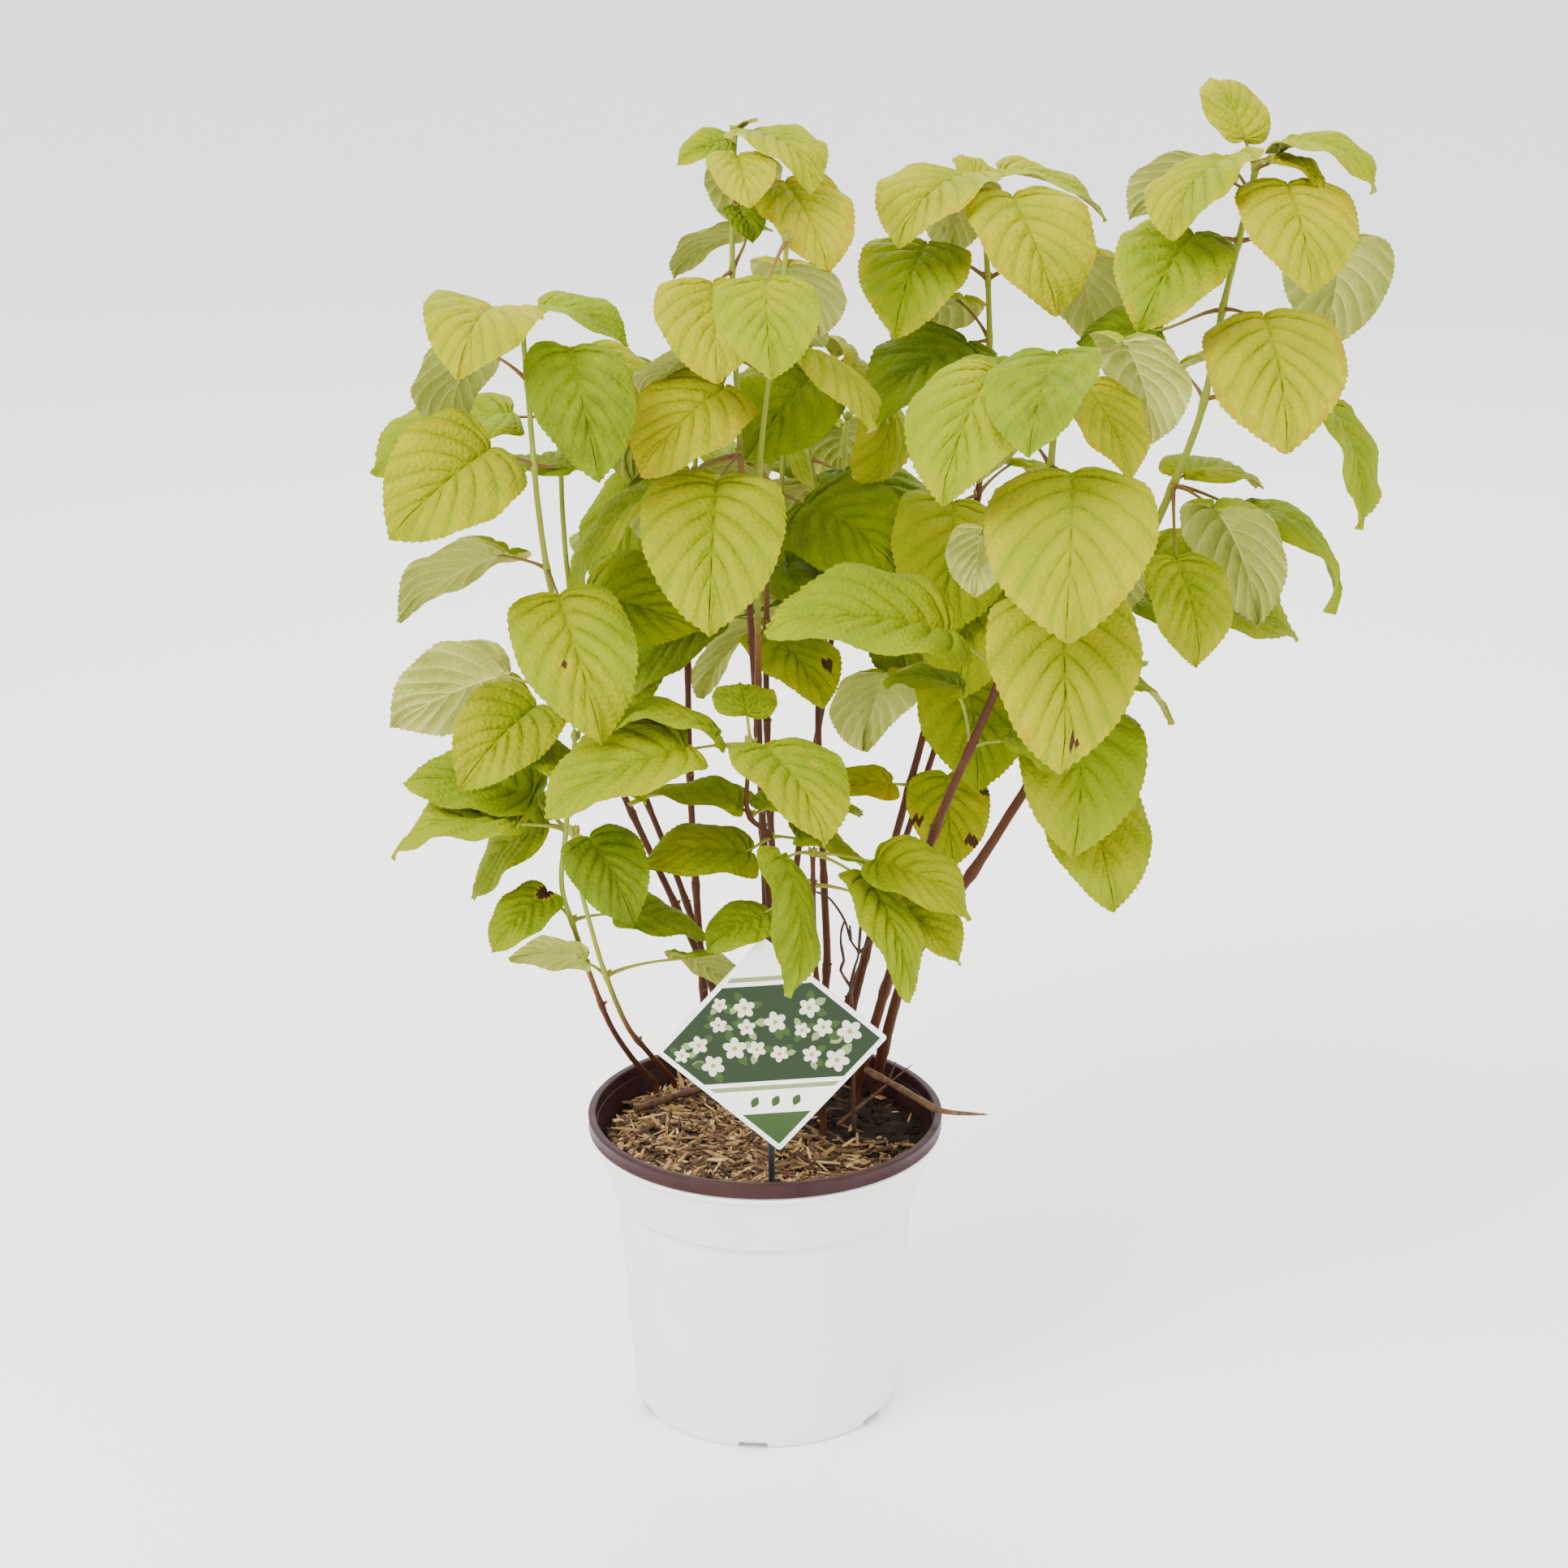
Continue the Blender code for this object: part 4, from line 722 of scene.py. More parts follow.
def evaluated_mesh(obj):
    graph = bpy.context.evaluated_depsgraph_get()
    return bpy.data.meshes.new_from_object(obj.evaluated_get(graph))


def mesh_of(name, verts, faces, mats=()):
    """Mesh from vertices in millimetres."""
    mesh = bpy.data.meshes.new(name)
    mesh.from_pydata([Vector(v) * MM for v in verts], [], faces)
    for mat in mats:
        mesh.materials.append(mat)
    return mesh


def baked(bm, name):
    """Mesh of a finished bmesh, which is then freed."""
    mesh = bpy.data.meshes.new(name)
    bm.to_mesh(mesh)
    bm.free()
    return mesh


def turn_outwards(mesh):
    """Turns the faces of a closed mesh outwards."""
    bm = bmesh.new()
    bm.from_mesh(mesh)
    bmesh.ops.recalc_face_normals(bm, faces=bm.faces)
    if bm.calc_volume(signed=True) < 0:
        bmesh.ops.reverse_faces(bm, faces=bm.faces)
    bm.to_mesh(mesh)
    bm.free()


def circle(count):
    """Cosine and sine of angles spread evenly all round."""
    angles = [2 * math.pi * k / count for k in range(count)]
    return [(math.cos(angle), math.sin(angle)) for angle in angles]


def ring_quads(a, b, count):
    """Faces between two rings of points, which start at the numbers a and b."""
    return [(a + k, b + k, b + (k + 1) % count, a + (k + 1) % count) for k in range(count)]


def plain_mesh(name, verts, faces, mats, picks=None):
    """Object from vertices in millimetres, with a material index for each face."""
    mesh = mesh_of(name, verts, faces, mats)
    if picks is not None:
        mesh.polygons.foreach_set("material_index", picks)
    mesh.update()
    return in_scene(name, mesh)


def smooth_shading(obj, angle):
    obj.data.polygons.foreach_set("use_smooth", [True] * len(obj.data.polygons))
    obj.data.set_sharp_from_angle(angle=math.radians(angle))
    obj.data.update()


def drop_unused_slots(obj):
    """Keeps only the materials that some face has."""
    mesh = obj.data
    picks = np.zeros(len(mesh.polygons), np.int32)
    mesh.polygons.foreach_get("material_index", picks)
    used = sorted(set(picks.tolist()))
    mats = [mesh.materials[i] for i in used]
    where = np.zeros(max(used) + 1, np.int32)
    where[used] = np.arange(len(used))
    mesh.materials.clear()
    for mat in mats:
        mesh.materials.append(mat)
    mesh.polygons.foreach_set("material_index", where[picks])


def hand_over(obj, slot, *nodes):
    """The finished piece rides on the plant's one body and stands for its solids."""
    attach(obj, BODY)
    if nodes:
        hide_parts(*nodes)
    return obj


# The rule that the solids grow by


def smooth_path(points, step):
    """Catmull-Rom curve through the points, in roughly equal steps."""
    pts = [Vector(p) for p in points]
    pts = [pts[0] * 2 - pts[1]] + pts + [pts[-1] * 2 - pts[-2]]
    path = []
    for i in range(1, len(pts) - 2):
        a, b, c, d = pts[i - 1:i + 3]
        count = max(1, round((c - b).length / step))
        for k in range(count):
            t = k / count
            path.append(0.5 * ((2 * b) + (c - a) * t + (2 * a - 5 * b + 4 * c - d) * t * t
                               + (3 * b - a - 3 * c + d) * t ** 3))
    path.append(pts[-2])
    return path


def cane_path(name):
    foot, places, foot_radius, tip_radius, leafy = CANES[name]
    start = Vector((*foot, SOIL_TOP + GAP))
    path = [start] + smooth_path((start + Vector((0, 0, CANE_RISE)),) + places, CANE_STEP)
    low, high = path[0].z, path[-1].z
    return [(p, foot_radius + (tip_radius - foot_radius) * (p.z - low) / (high - low)) for p in path]


def split_at(path, z):
    """Point and radius where the path passes a height."""
    for (a, ra), (b, rb) in zip(path, path[1:]):
        if a.z <= z <= b.z:
            t = (z - a.z) / (b.z - a.z)
            return a.lerp(b, t), ra + (rb - ra) * t
    return path[-1]


def direction(bearing, droop):
    b, d = math.radians(bearing), math.radians(droop)
    return Vector((math.cos(b) * math.cos(d), math.sin(b) * math.cos(d), -math.sin(d)))


def all_numbers(leaf):
    """The nine numbers of a leaf, with the usual roll, arch and width where it leaves them out."""
    return (*leaf, *(0.0, BLADE_ARCH, 1.0)[len(leaf) - 6:])


def blade_axes(bearing, droop, roll):
    """Chord of a blade, and its sideways and upward axes, rolled about the chord."""
    chord = direction(bearing, droop)
    level = Vector((-math.sin(math.radians(bearing)), math.cos(math.radians(bearing)), 0))
    normal = chord.cross(level)
    r = math.radians(roll)
    return chord, level * math.cos(r) - normal * math.sin(r), normal * math.cos(r) + level * math.sin(r)


def blade_frames(base, length, bearing, droop, roll, arch):
    """Places, upward and sideways axes and headings along the midrib."""
    shares = [0.0] + [s[0] for s in BLADE_SECTIONS] + [1.0]
    chord, axis_side, axis_normal = blade_axes(bearing, droop, roll)
    frames = []
    place = Vector(base)
    last = 0.0
    for share in shares:
        middle = (share + last) / 2
        angle = math.radians(arch * (middle - 0.5))
        heading = chord * math.cos(angle) - axis_normal * math.sin(angle)
        place = place + heading * length * (share - last)
        last = share
        at = math.radians(arch * (share - 0.5))
        up = axis_normal * math.cos(at) + chord * math.sin(at)
        frames.append((place, up, axis_side, chord * math.cos(at) - axis_normal * math.sin(at)))
    return frames


def leaf_solid(node, leaf, sink):
    """Stalk and blade as one closed solid of four-sided sections."""
    sx, sy, sz, length, bearing, droop, roll, arch, wide = all_numbers(leaf)
    base = node + Vector((sx, sy, sz))
    frames = blade_frames(base, length, bearing, droop, roll, arch)
    place, up, side, heading = frames[0]
    out = (base - node).normalized()
    across = side - out * side.dot(out)
    if across.length < LEAST_ACROSS:
        across = up - out * up.dot(out)
    across.normalize()
    rise = out.cross(across)
    if rise.dot(up) < 0:
        rise, across = -rise, -across
    ahead = heading + out
    if ahead.length < LEAST_AHEAD:
        ahead = heading.copy()
    ahead.normalize()
    lift = (up - ahead * up.dot(ahead)).normalized()
    still = Vector((0, 0, 0))
    sections = [(node - out * sink, rise * STALK_RADIUS, across * STALK_RADIUS, still),
                (place, lift * STALK_RADIUS * NECK_FLAT, side * STALK_RADIUS * NECK_WIDE, still)]
    cup = math.tan(math.radians(BLADE_CUP))
    for (share, half, edge_share), (place, up, side, heading) in zip(BLADE_SECTIONS, frames[1:]):
        width = half * length * wide
        shift = heading * (edge_share - share) * length + up * width * cup
        sections.append((place, up * BLADE_HALF_THICK, side * width, shift))
    verts = []
    for place, up, across, shift in sections:
        verts += [place + up, place + across + shift, place - up, place - across + shift]
    verts.append(frames[-1][0])
    faces = [(3, 2, 1), (3, 1, 0)]
    for k in range(len(sections) - 1):
        faces += ring_faces(4 * k, 4 * k + 4)
    last = len(verts) - 5
    faces += [(last + i, last + (i + 1) % 4, last + 4) for i in range(4)]
    return verts, faces


def ring_faces(a, b):
    """Triangles between two four-sided sections, split from the earlier edge to the later rib."""
    return [
        (a, a + 1, b), (a + 1, b + 1, b),
        (a + 1, a + 2, b + 2), (a + 1, b + 2, b + 1),
        (a + 2, a + 3, b + 2), (a + 3, b + 3, b + 2),
        (a + 3, a, b), (a + 3, b, b + 3),
    ]


def tree_of(verts, faces):
    return BVHTree.FromPolygons([tuple(v) for v in verts], faces)


def turned(centre, x, y, angle):
    """Flat point that lies x, y from a centre before it is turned about it."""
    return (centre[0] + x * math.cos(angle) - y * math.sin(angle),
            centre[1] + x * math.sin(angle) + y * math.cos(angle))


def grown(leaf, dx, dy):
    """The leaf's numbers, turned by dx degrees round its stem and drooped by dy more."""
    values = list(leaf)
    values[:2] = turned((0, 0), values[0], values[1], math.radians(dx))
    values[4] += dx
    values[5] += dy
    return values


def in_crown(verts):
    wide = max(abs(v.x) for v in verts) > CROWN_HALF_WIDTH
    deep = max(abs(v.y) for v in verts) > CROWN_HALF_DEPTH
    low, high = min(v.z for v in verts), max(v.z for v in verts)
    return not wide and not deep and low > CROWN_FLOOR and high < CROWN_TOP


def mates(name, rng):
    """Hidden mates across each node whose pair the picture shows only half of, and the rule's own pairs."""
    rows = []
    for height, leaves in LEAVES.get(name, ()):
        fallen = (name, height) in FALLEN_MATES
        if len(leaves) == 1 and not fallen and height > CANES[name][4] + MATE_ROOM:
            length, bearing = leaves[0][3:5]
            reach = rng.uniform(*RULE_STALK)
            out = direction(bearing + 180 + rng.uniform(-MATE_SWING, MATE_SWING), -MATE_RISE)
            across = math.degrees(math.atan2(out.y, out.x))
            size = max(length * MATE_SHARE, MATE_LEAST)
            rows.append((height, ((*(out * reach), size, across, rng.uniform(*MATE_DROOP)),)))
    if name in RULE_CANES:
        height, high, turn = RULE_CANES[name]
        while height <= high:
            pair = []
            for half in (0, 180):
                bearing = turn + half + rng.uniform(-RULE_SWING, RULE_SWING)
                out = direction(bearing, -rng.uniform(*RULE_RISE)) * rng.uniform(*RULE_STALK)
                pair.append((*out, rng.uniform(*RULE_LENGTH), bearing, rng.uniform(*RULE_DROOP),
                             rng.uniform(-RULE_ROLL, RULE_ROLL)))
            rows.append((height, tuple(pair)))
            height += RULE_SPACING
            turn += 90
    return rows


def clash(one, other):
    """Whether two shapes meet, apart from where a stalk starts on its own cane or node."""
    near = one[0] == other[0] and other[1] in (None, one[1])
    part = 3 if near else 2
    return bool(one[part].overlap(other[part]))


def place_leaves():
    """Leaves of every cane, each turned a little until it is free, or left out."""
    rng = random.Random(SEED)
    placed = {name: [] for name in CANES}
    taken = obstacles()
    plans = [(name, LEAVES.get(name, ())) for name in CANES] + [(name, mates(name, rng)) for name in CANES]
    for name, rows in plans:
        path = cane_path(name)
        for height, leaves in rows:
            node, radius = split_at(path, height)
            for leaf in leaves:
                for dx, dy in TRIES:
                    values = grown(leaf, dx, dy)
                    verts, faces = leaf_solid(node, values, 0.0)
                    blade = [face for face in faces if min(face) >= 4]
                    shape = (name, height, tree_of(verts, faces), tree_of(verts, blade))
                    if in_crown(verts) and not any(clash(shape, other) for other in taken):
                        taken.append(shape)
                        placed[name].append((node, values, height))
                        break
    return placed


def stub_path(name):
    places, foot_radius, tip_radius = STUBS[name]
    path = smooth_path([(x, y, SOIL_TOP + height) for x, y, height in places], STUB_STEP)
    count = len(path) - 1
    return [(p, foot_radius + (tip_radius - foot_radius) * i / count) for i, p in enumerate(path)]


def limb_tree(path):
    """Coarse shell round a limb, used only to keep leaves off it."""
    verts, faces = [], []
    for place, radius in path:
        base = len(verts)
        verts += [place + Vector((c, s, 0)) * (radius + GAP) for c, s in circle(SHELL_SIDES)]
        if base:
            faces += ring_quads(base - SHELL_SIDES, base, SHELL_SIDES)
    return tree_of(verts, faces)


def box_bmesh(centre, size, rotation):
    """Box in millimetres, turned and then moved to its centre."""
    bm = bmesh.new()
    place = Matrix.Translation(centre) @ rotation @ Matrix.Diagonal((*size, 1.0))
    bmesh.ops.create_cube(bm, size=1.0, matrix=place)
    return bm


def tag_box():
    """Centre, size and turn of the square plate that stands on one corner."""
    turn = Matrix.Rotation(math.radians(45 - TAG_TURN), 4, "Y")
    return TAG_CENTRE, (TAG_SIDE, TAG_THICK, TAG_SIDE), turn


def stick_box():
    x, y, z = TAG_CENTRE
    foot = SOIL_TOP + GAP
    top = z + STICK_REACH
    centre = (x, y + TAG_THICK / 2 + GAP + STICK_THICK / 2, (foot + top) / 2)
    return centre, (STICK_WIDTH, STICK_THICK, top - foot), Matrix.Identity(4)


def obstacles():
    """What a leaf has to keep clear of before the first leaf is placed."""
    trees = {name: limb_tree(cane_path(name)) for name in CANES}
    trees.update({name: limb_tree(stub_path(name)) for name in STUBS})
    for name, shape in (("tag", tag_box()), ("tag_stick", stick_box())):
        bm = box_bmesh(*shape)
        trees[name] = BVHTree.FromBMesh(bm)
        bm.free()
    return [(name, None, tree, tree) for name, tree in trees.items()]


def wall_radius(z):
    """Inside radius of the pot's wall at a height."""
    if z >= COLLAR_FOOT_Z:
        share = (z - COLLAR_FOOT_Z) / (POT_HEIGHT - RIM_DEPTH - COLLAR_FOOT_Z)
        return COLLAR_FOOT_RADIUS + (COLLAR_TOP_RADIUS - COLLAR_FOOT_RADIUS) * share - POT_WALL
    share = z / COLLAR_FOOT_Z
    return BODY_FOOT_RADIUS + (BODY_TOP_RADIUS - BODY_FOOT_RADIUS) * share - POT_WALL


def lining_radius(z):
    """Outside radius of the lining at a height."""
    return wall_radius(z) - (BODY_ROOM if z < COLLAR_FOOT_Z else COLLAR_ROOM)


def soil_radius(z):
    return lining_radius(z) - LINING_WALL - SOIL_ROOM


# Node trees


class Grower(NodeTree):
    """Geometry node tree with one main flow."""

    def __init__(self, name, inputs):
        self.tree = bpy.data.node_groups.new(name, "GeometryNodeTree")
        face = self.tree.interface
        face.new_socket(name="Geometry", in_out="INPUT", socket_type="NodeSocketGeometry")
        for label, kind in inputs.items():
            face.new_socket(name=label, in_out="INPUT", socket_type="NodeSocket" + kind)
        face.new_socket(name="Geometry", in_out="OUTPUT", socket_type="NodeSocketGeometry")
        self.given = self.node("NodeGroupInput").outputs
        self.end = self.node("NodeGroupOutput")
        self.flow = self.given["Geometry"]

    def step(self, kind, entry, leave, **values):
        """Adds a node to the main flow."""
        made = self.node(kind, **values)
        self.put(self.flow, made.inputs[entry])
        self.flow = made.outputs[leave]
        return made

    def attribute(self, name):
        return self.node("GeometryNodeInputNamedAttribute", data_type="FLOAT", Name=name).outputs["Attribute"]

    def math(self, operation, first, second):
        made = self.node("ShaderNodeMath", operation=operation)
        for socket, value in zip(made.inputs, (first, second)):
            self.put(value, socket)
        return made.outputs["Value"]

    def close(self, mats, picker=None):
        """Realizes the instances and sets the materials, by the picker's number when there are several."""
        self.step("GeometryNodeRealizeInstances", "Geometry", "Geometry")
        for index, mat in enumerate(mats):
            made = self.step("GeometryNodeSetMaterial", "Geometry", "Geometry", Material=mat)
            if index:
                test = self.node("FunctionNodeCompare", data_type="FLOAT", operation="GREATER_THAN",
                                 A=picker, B=index - 0.5)
                self.put(test.outputs["Result"], made.inputs["Selection"])
        self.put(self.flow, self.end.inputs["Geometry"])
        return self.tree


def run_tree(tree, obj, values):
    """Plain mesh object that the tree makes from obj, which is then removed."""
    change = obj.modifiers.new("grow", "NODES")
    change.node_group = tree
    for item in tree.interface.items_tree:
        if item.item_type == "SOCKET" and item.in_out == "INPUT" and item.name in values:
            change[item.identifier] = values[item.name]
    mesh = evaluated_mesh(obj)
    name = obj.name
    old = obj.data
    bpy.data.objects.remove(obj)
    bpy.data.meshes.remove(old)
    mesh.name = name
    return in_scene(name, mesh)


def limb_grower(mats):
    """Tubes along paths whose points carry a girth and a tone, with relief in the bark."""
    grow = Grower("limbs", {"Sides": "Int", "Relief": "Float", "Grain": "Float", "Tone spread": "Float"})
    given = grow.given
    grow.step("GeometryNodeMeshToCurve", "Mesh", "Curve")
    ring = grow.node("GeometryNodeCurvePrimitiveCircle", mode="RADIUS", Radius=1.0, Resolution=given["Sides"])
    grow.step("GeometryNodeCurveToMesh", "Curve", "Mesh", Profile_Curve=ring.outputs["Curve"],
              Scale=grow.attribute("girth"), Fill_Caps=True)
    stretch = grow.node("ShaderNodeVectorMath", operation="MULTIPLY")
    grow.put(grow.node("GeometryNodeInputPosition").outputs["Position"], stretch.inputs[0])
    grow.put((1.0, 1.0, BARK_STRETCH), stretch.inputs[1])
    place = stretch.outputs["Vector"]
    grain = grow.node("ShaderNodeTexNoise", Vector=place, Scale=given["Grain"])
    swing = grow.math("SUBTRACT", grain.outputs["Fac"], 0.5)
    height = grow.math("MULTIPLY", grow.math("MULTIPLY", swing, given["Relief"]), grow.attribute("girth"))
    outward = grow.node("ShaderNodeVectorMath", operation="SCALE", Scale=height)
    grow.put(grow.node("GeometryNodeInputNormal").outputs["Normal"], outward.inputs[0])
    grow.step("GeometryNodeSetPosition", "Geometry", "Geometry", Offset=outward.outputs["Vector"])
    grow.step("GeometryNodeSetShadeSmooth", "Geometry", "Geometry")
    fleck = grow.node("ShaderNodeTexNoise", Vector=place, Scale=FLECK_SCALE)
    drift = grow.math("MULTIPLY", grow.math("SUBTRACT", fleck.outputs["Fac"], 0.5), given["Tone spread"])
    return grow.close(mats, grow.math("ADD", grow.attribute("tone"), drift))


def grow_limbs(name, paths, tree, sides, relief, grain, spread):
    """Piece made of tapering tubes. A path is a list of (place, girth, tone)."""
    verts, edges, girths, tones = [], [], [], []
    for path in paths:
        for index, (place, girth, tone) in enumerate(path):
            if index:
                edges.append((len(verts) - 1, len(verts)))
            verts.append(Vector(place) * MM)
            girths.append(girth * MM)
            tones.append(tone * TINT_STEPS)
    mesh = bpy.data.meshes.new(name)
    mesh.from_pydata(verts, edges, [])
    mesh.attributes.new("girth", "FLOAT", "POINT").data.foreach_set("value", girths)
    mesh.attributes.new("tone", "FLOAT", "POINT").data.foreach_set("value", tones)
    values = {"Sides": sides, "Relief": relief, "Grain": grain, "Tone spread": spread}
    made = run_tree(tree, in_scene(name, mesh), values)
    for key in ("girth", "tone"):
        if key in made.data.attributes:
            made.data.attributes.remove(made.data.attributes[key])
    return made


def scatter_grower(name, mats):
    """Small shapes of one collection strewn over a surface."""
    grow = Grower(name, {"Shapes": "Collection", "Density": "Float", "Seed": "Int", "Scale": "Float",
                         "Tilt": "Float", "Pile": "Float"})
    given = grow.given
    seed, tilt = given["Seed"], given["Tilt"]
    cover = grow.math("MULTIPLY", given["Density"], grow.attribute("cover"))
    grow.step("GeometryNodeDistributePointsOnFaces", "Mesh", "Points", distribute_method="RANDOM",
              Density=cover, Seed=seed)
    shapes = grow.node("GeometryNodeCollectionInfo", Collection=given["Shapes"], Separate_Children=True,
                       Reset_Children=True)
    back = grow.math("MULTIPLY", tilt, -1.0)
    least = grow.node("ShaderNodeCombineXYZ", X=back, Y=back)
    most = grow.node("ShaderNodeCombineXYZ", X=tilt, Y=tilt, Z=2 * math.pi)
    turn = grow.node("FunctionNodeRandomValue", data_type="FLOAT_VECTOR", Min=least.outputs["Vector"],
                     Max=most.outputs["Vector"], Seed=seed)
    size = grow.node("FunctionNodeRandomValue", data_type="FLOAT", Seed=seed)
    size.inputs[2].default_value, size.inputs[3].default_value = STREWN_SIZES
    grow.step("GeometryNodeInstanceOnPoints", "Points", "Instances", Instance=shapes.outputs["Instances"],
              Pick_Instance=True, Rotation=turn.outputs["Value"],
              Scale=grow.math("MULTIPLY", size.outputs[1], given["Scale"]))
    lift = grow.node("FunctionNodeRandomValue", data_type="FLOAT", Seed=grow.math("ADD", seed, 1))
    grow.put(given["Pile"], lift.inputs[3])
    rise = grow.node("ShaderNodeCombineXYZ", Z=lift.outputs[1])
    grow.step("GeometryNodeTranslateInstances", "Instances", "Instances", Local_Space=False,
              Translation=rise.outputs["Vector"])
    return grow.close(mats)


# Fine leaves


class Blade:
    """Pattern that all leaves share: a grid for each half of each face, merged along its borders."""

    def __init__(self):
        self.lay_rows()
        self.number_points()
        self.list_faces()

    def lay_rows(self):
        points = smooth_path([(x, y, 0) for x, y in OUTLINE], 0.01)
        xs = np.array([p.x for p in points])
        ys = np.array([max(p.y, 0.0) for p in points])
        arc = np.concatenate(([0.0], np.cumsum(np.hypot(np.diff(xs), np.diff(ys)))))
        arc /= arc[-1]
        s = np.array(COLUMNS)
        feet = (0.0, *VEIN_FEET, 1.0)
        ends = (0.0, *VEIN_ENDS, 1.0)
        foot, reach, swell, vein = [], [], [], []
        for segment, count in enumerate(SEGMENT_ROWS):
            for k in range(count):
                hug = 0.0 if k == 0 else VEIN_SHARE + (1 - 2 * VEIN_SHARE) * (k - 1) / (count - 2)
                foot.append(feet[segment] + (feet[segment + 1] - feet[segment]) * hug)
                spread = hug + (k / count - hug) * s ** 4
                reach.append(ends[segment] + (ends[segment + 1] - ends[segment]) * spread)
                swell.append(1 - abs(2 * hug - 1) ** 2.2)
                vein.append(k == 0 and segment > 0)
        foot.append(1.0)
        reach.append(np.ones(len(s)))
        swell.append(0.0)
        vein.append(False)
        foot = np.array(foot)[:, None]
        reach = np.array(reach)
        ex = np.interp(reach, arc, xs)
        ey = np.interp(reach, arc, ys)
        bow = ROW_BOW * np.clip((ex[:, -1:] - foot) / 0.2, 0.0, 1.0)
        self.x = foot * (1 - s) + ex * s - bow * 4 * s * (1 - s)
        self.y = ey * s
        along, aside = np.gradient(ex[:, -1]), np.gradient(ey[:, -1])
        size = np.hypot(along, aside) + 1e-9
        self.out_x, self.out_y = -aside / size, along / size
        self.swell = np.array(swell)
        self.vein = np.array(vein)
        self.rows = len(foot) - 1
        self.cols = len(s) - 1

    def number_points(self):
        """One number for each different point; halves meet on the midrib, faces on the margin."""
        self.index = {}
        self.half, self.layer, self.row, self.col = [], [], [], []
        for half in (1, -1):
            for layer in (0, 1):
                for r in range(self.rows + 1):
                    for c in range(self.cols + 1):
                        if r in (0, self.rows):
                            key = (0, 0, r, 0)
                        elif c == 0:
                            key = (0, layer, r, 0)
                        elif c == self.cols:
                            key = (half, 0, r, c)
                        else:
                            key = (half, layer, r, c)
                        if key not in self.index:
                            self.index[key] = len(self.half)
                            self.half.append(half)
                            self.layer.append(key[1])
                            self.row.append(r)
                            self.col.append(key[3])
                        self.index[(half, layer, r, c)] = self.index[key]
        lists = (self.half, self.layer, self.row, self.col)
        self.half, self.layer, self.row, self.col = map(np.array, lists)
        self.rim = (self.col == self.cols) | (self.row == 0) | (self.row == self.rows)
        self.px = self.x[self.row, self.col]
        self.py = self.y[self.row, self.col] * self.half
        self.across = np.array(COLUMNS)[self.col]

    def list_faces(self):
        self.faces, sides, places = [], [], []
        for half in (1, -1):
            for layer in (0, 1):
                for r in range(self.rows):
                    for c in range(self.cols):
                        for ring in (((r, c), (r + 1, c), (r + 1, c + 1)),
                                     ((r, c), (r + 1, c + 1), (r, c + 1))):
                            face = [self.index[(half, layer, *rc)] for rc in ring]
                            if len(set(face)) < 3:
                                continue
                            self.faces.append(face[::-1] if (half < 0) != (layer == 1) else face)
                            sides.append(layer)
                            places.append((r, c, half))
        self.face_layer = np.array(sides)
        places = np.array(places)
        self.face_row, self.face_col, self.face_half = places[:, 0], places[:, 1], places[:, 2]
        after = np.minimum(self.face_row + 1, self.rows)
        self.face_vein = self.vein[self.face_row] | self.vein[after]
        self.face_swell = (self.swell[self.face_row] + self.swell[after]) / 2
        r, c = self.face_row, self.face_col
        corners = ((r, c), (after, c), (r, c + 1), (after, c + 1))
        self.face_x = sum(self.x[corner] for corner in corners) / 4
        self.face_y = sum(self.y[corner] for corner in corners) / 4 * self.face_half
        self.face_across = (np.array(COLUMNS)[c] + np.array(COLUMNS)[c + 1]) / 2


def ripple(x, y, rng, waves):
    """Smooth pattern between about -1 and 1 over a blade, waves to its length."""
    total = np.zeros_like(x)
    for _ in range(RIPPLES):
        angle = rng.uniform(0, math.pi)
        pace = 2 * math.pi * waves * rng.uniform(0.6, 1.4)
        total += np.sin(pace * (x * math.cos(angle) + y * math.sin(angle)) + rng.uniform(0, 2 * math.pi))
    return total / 2.6


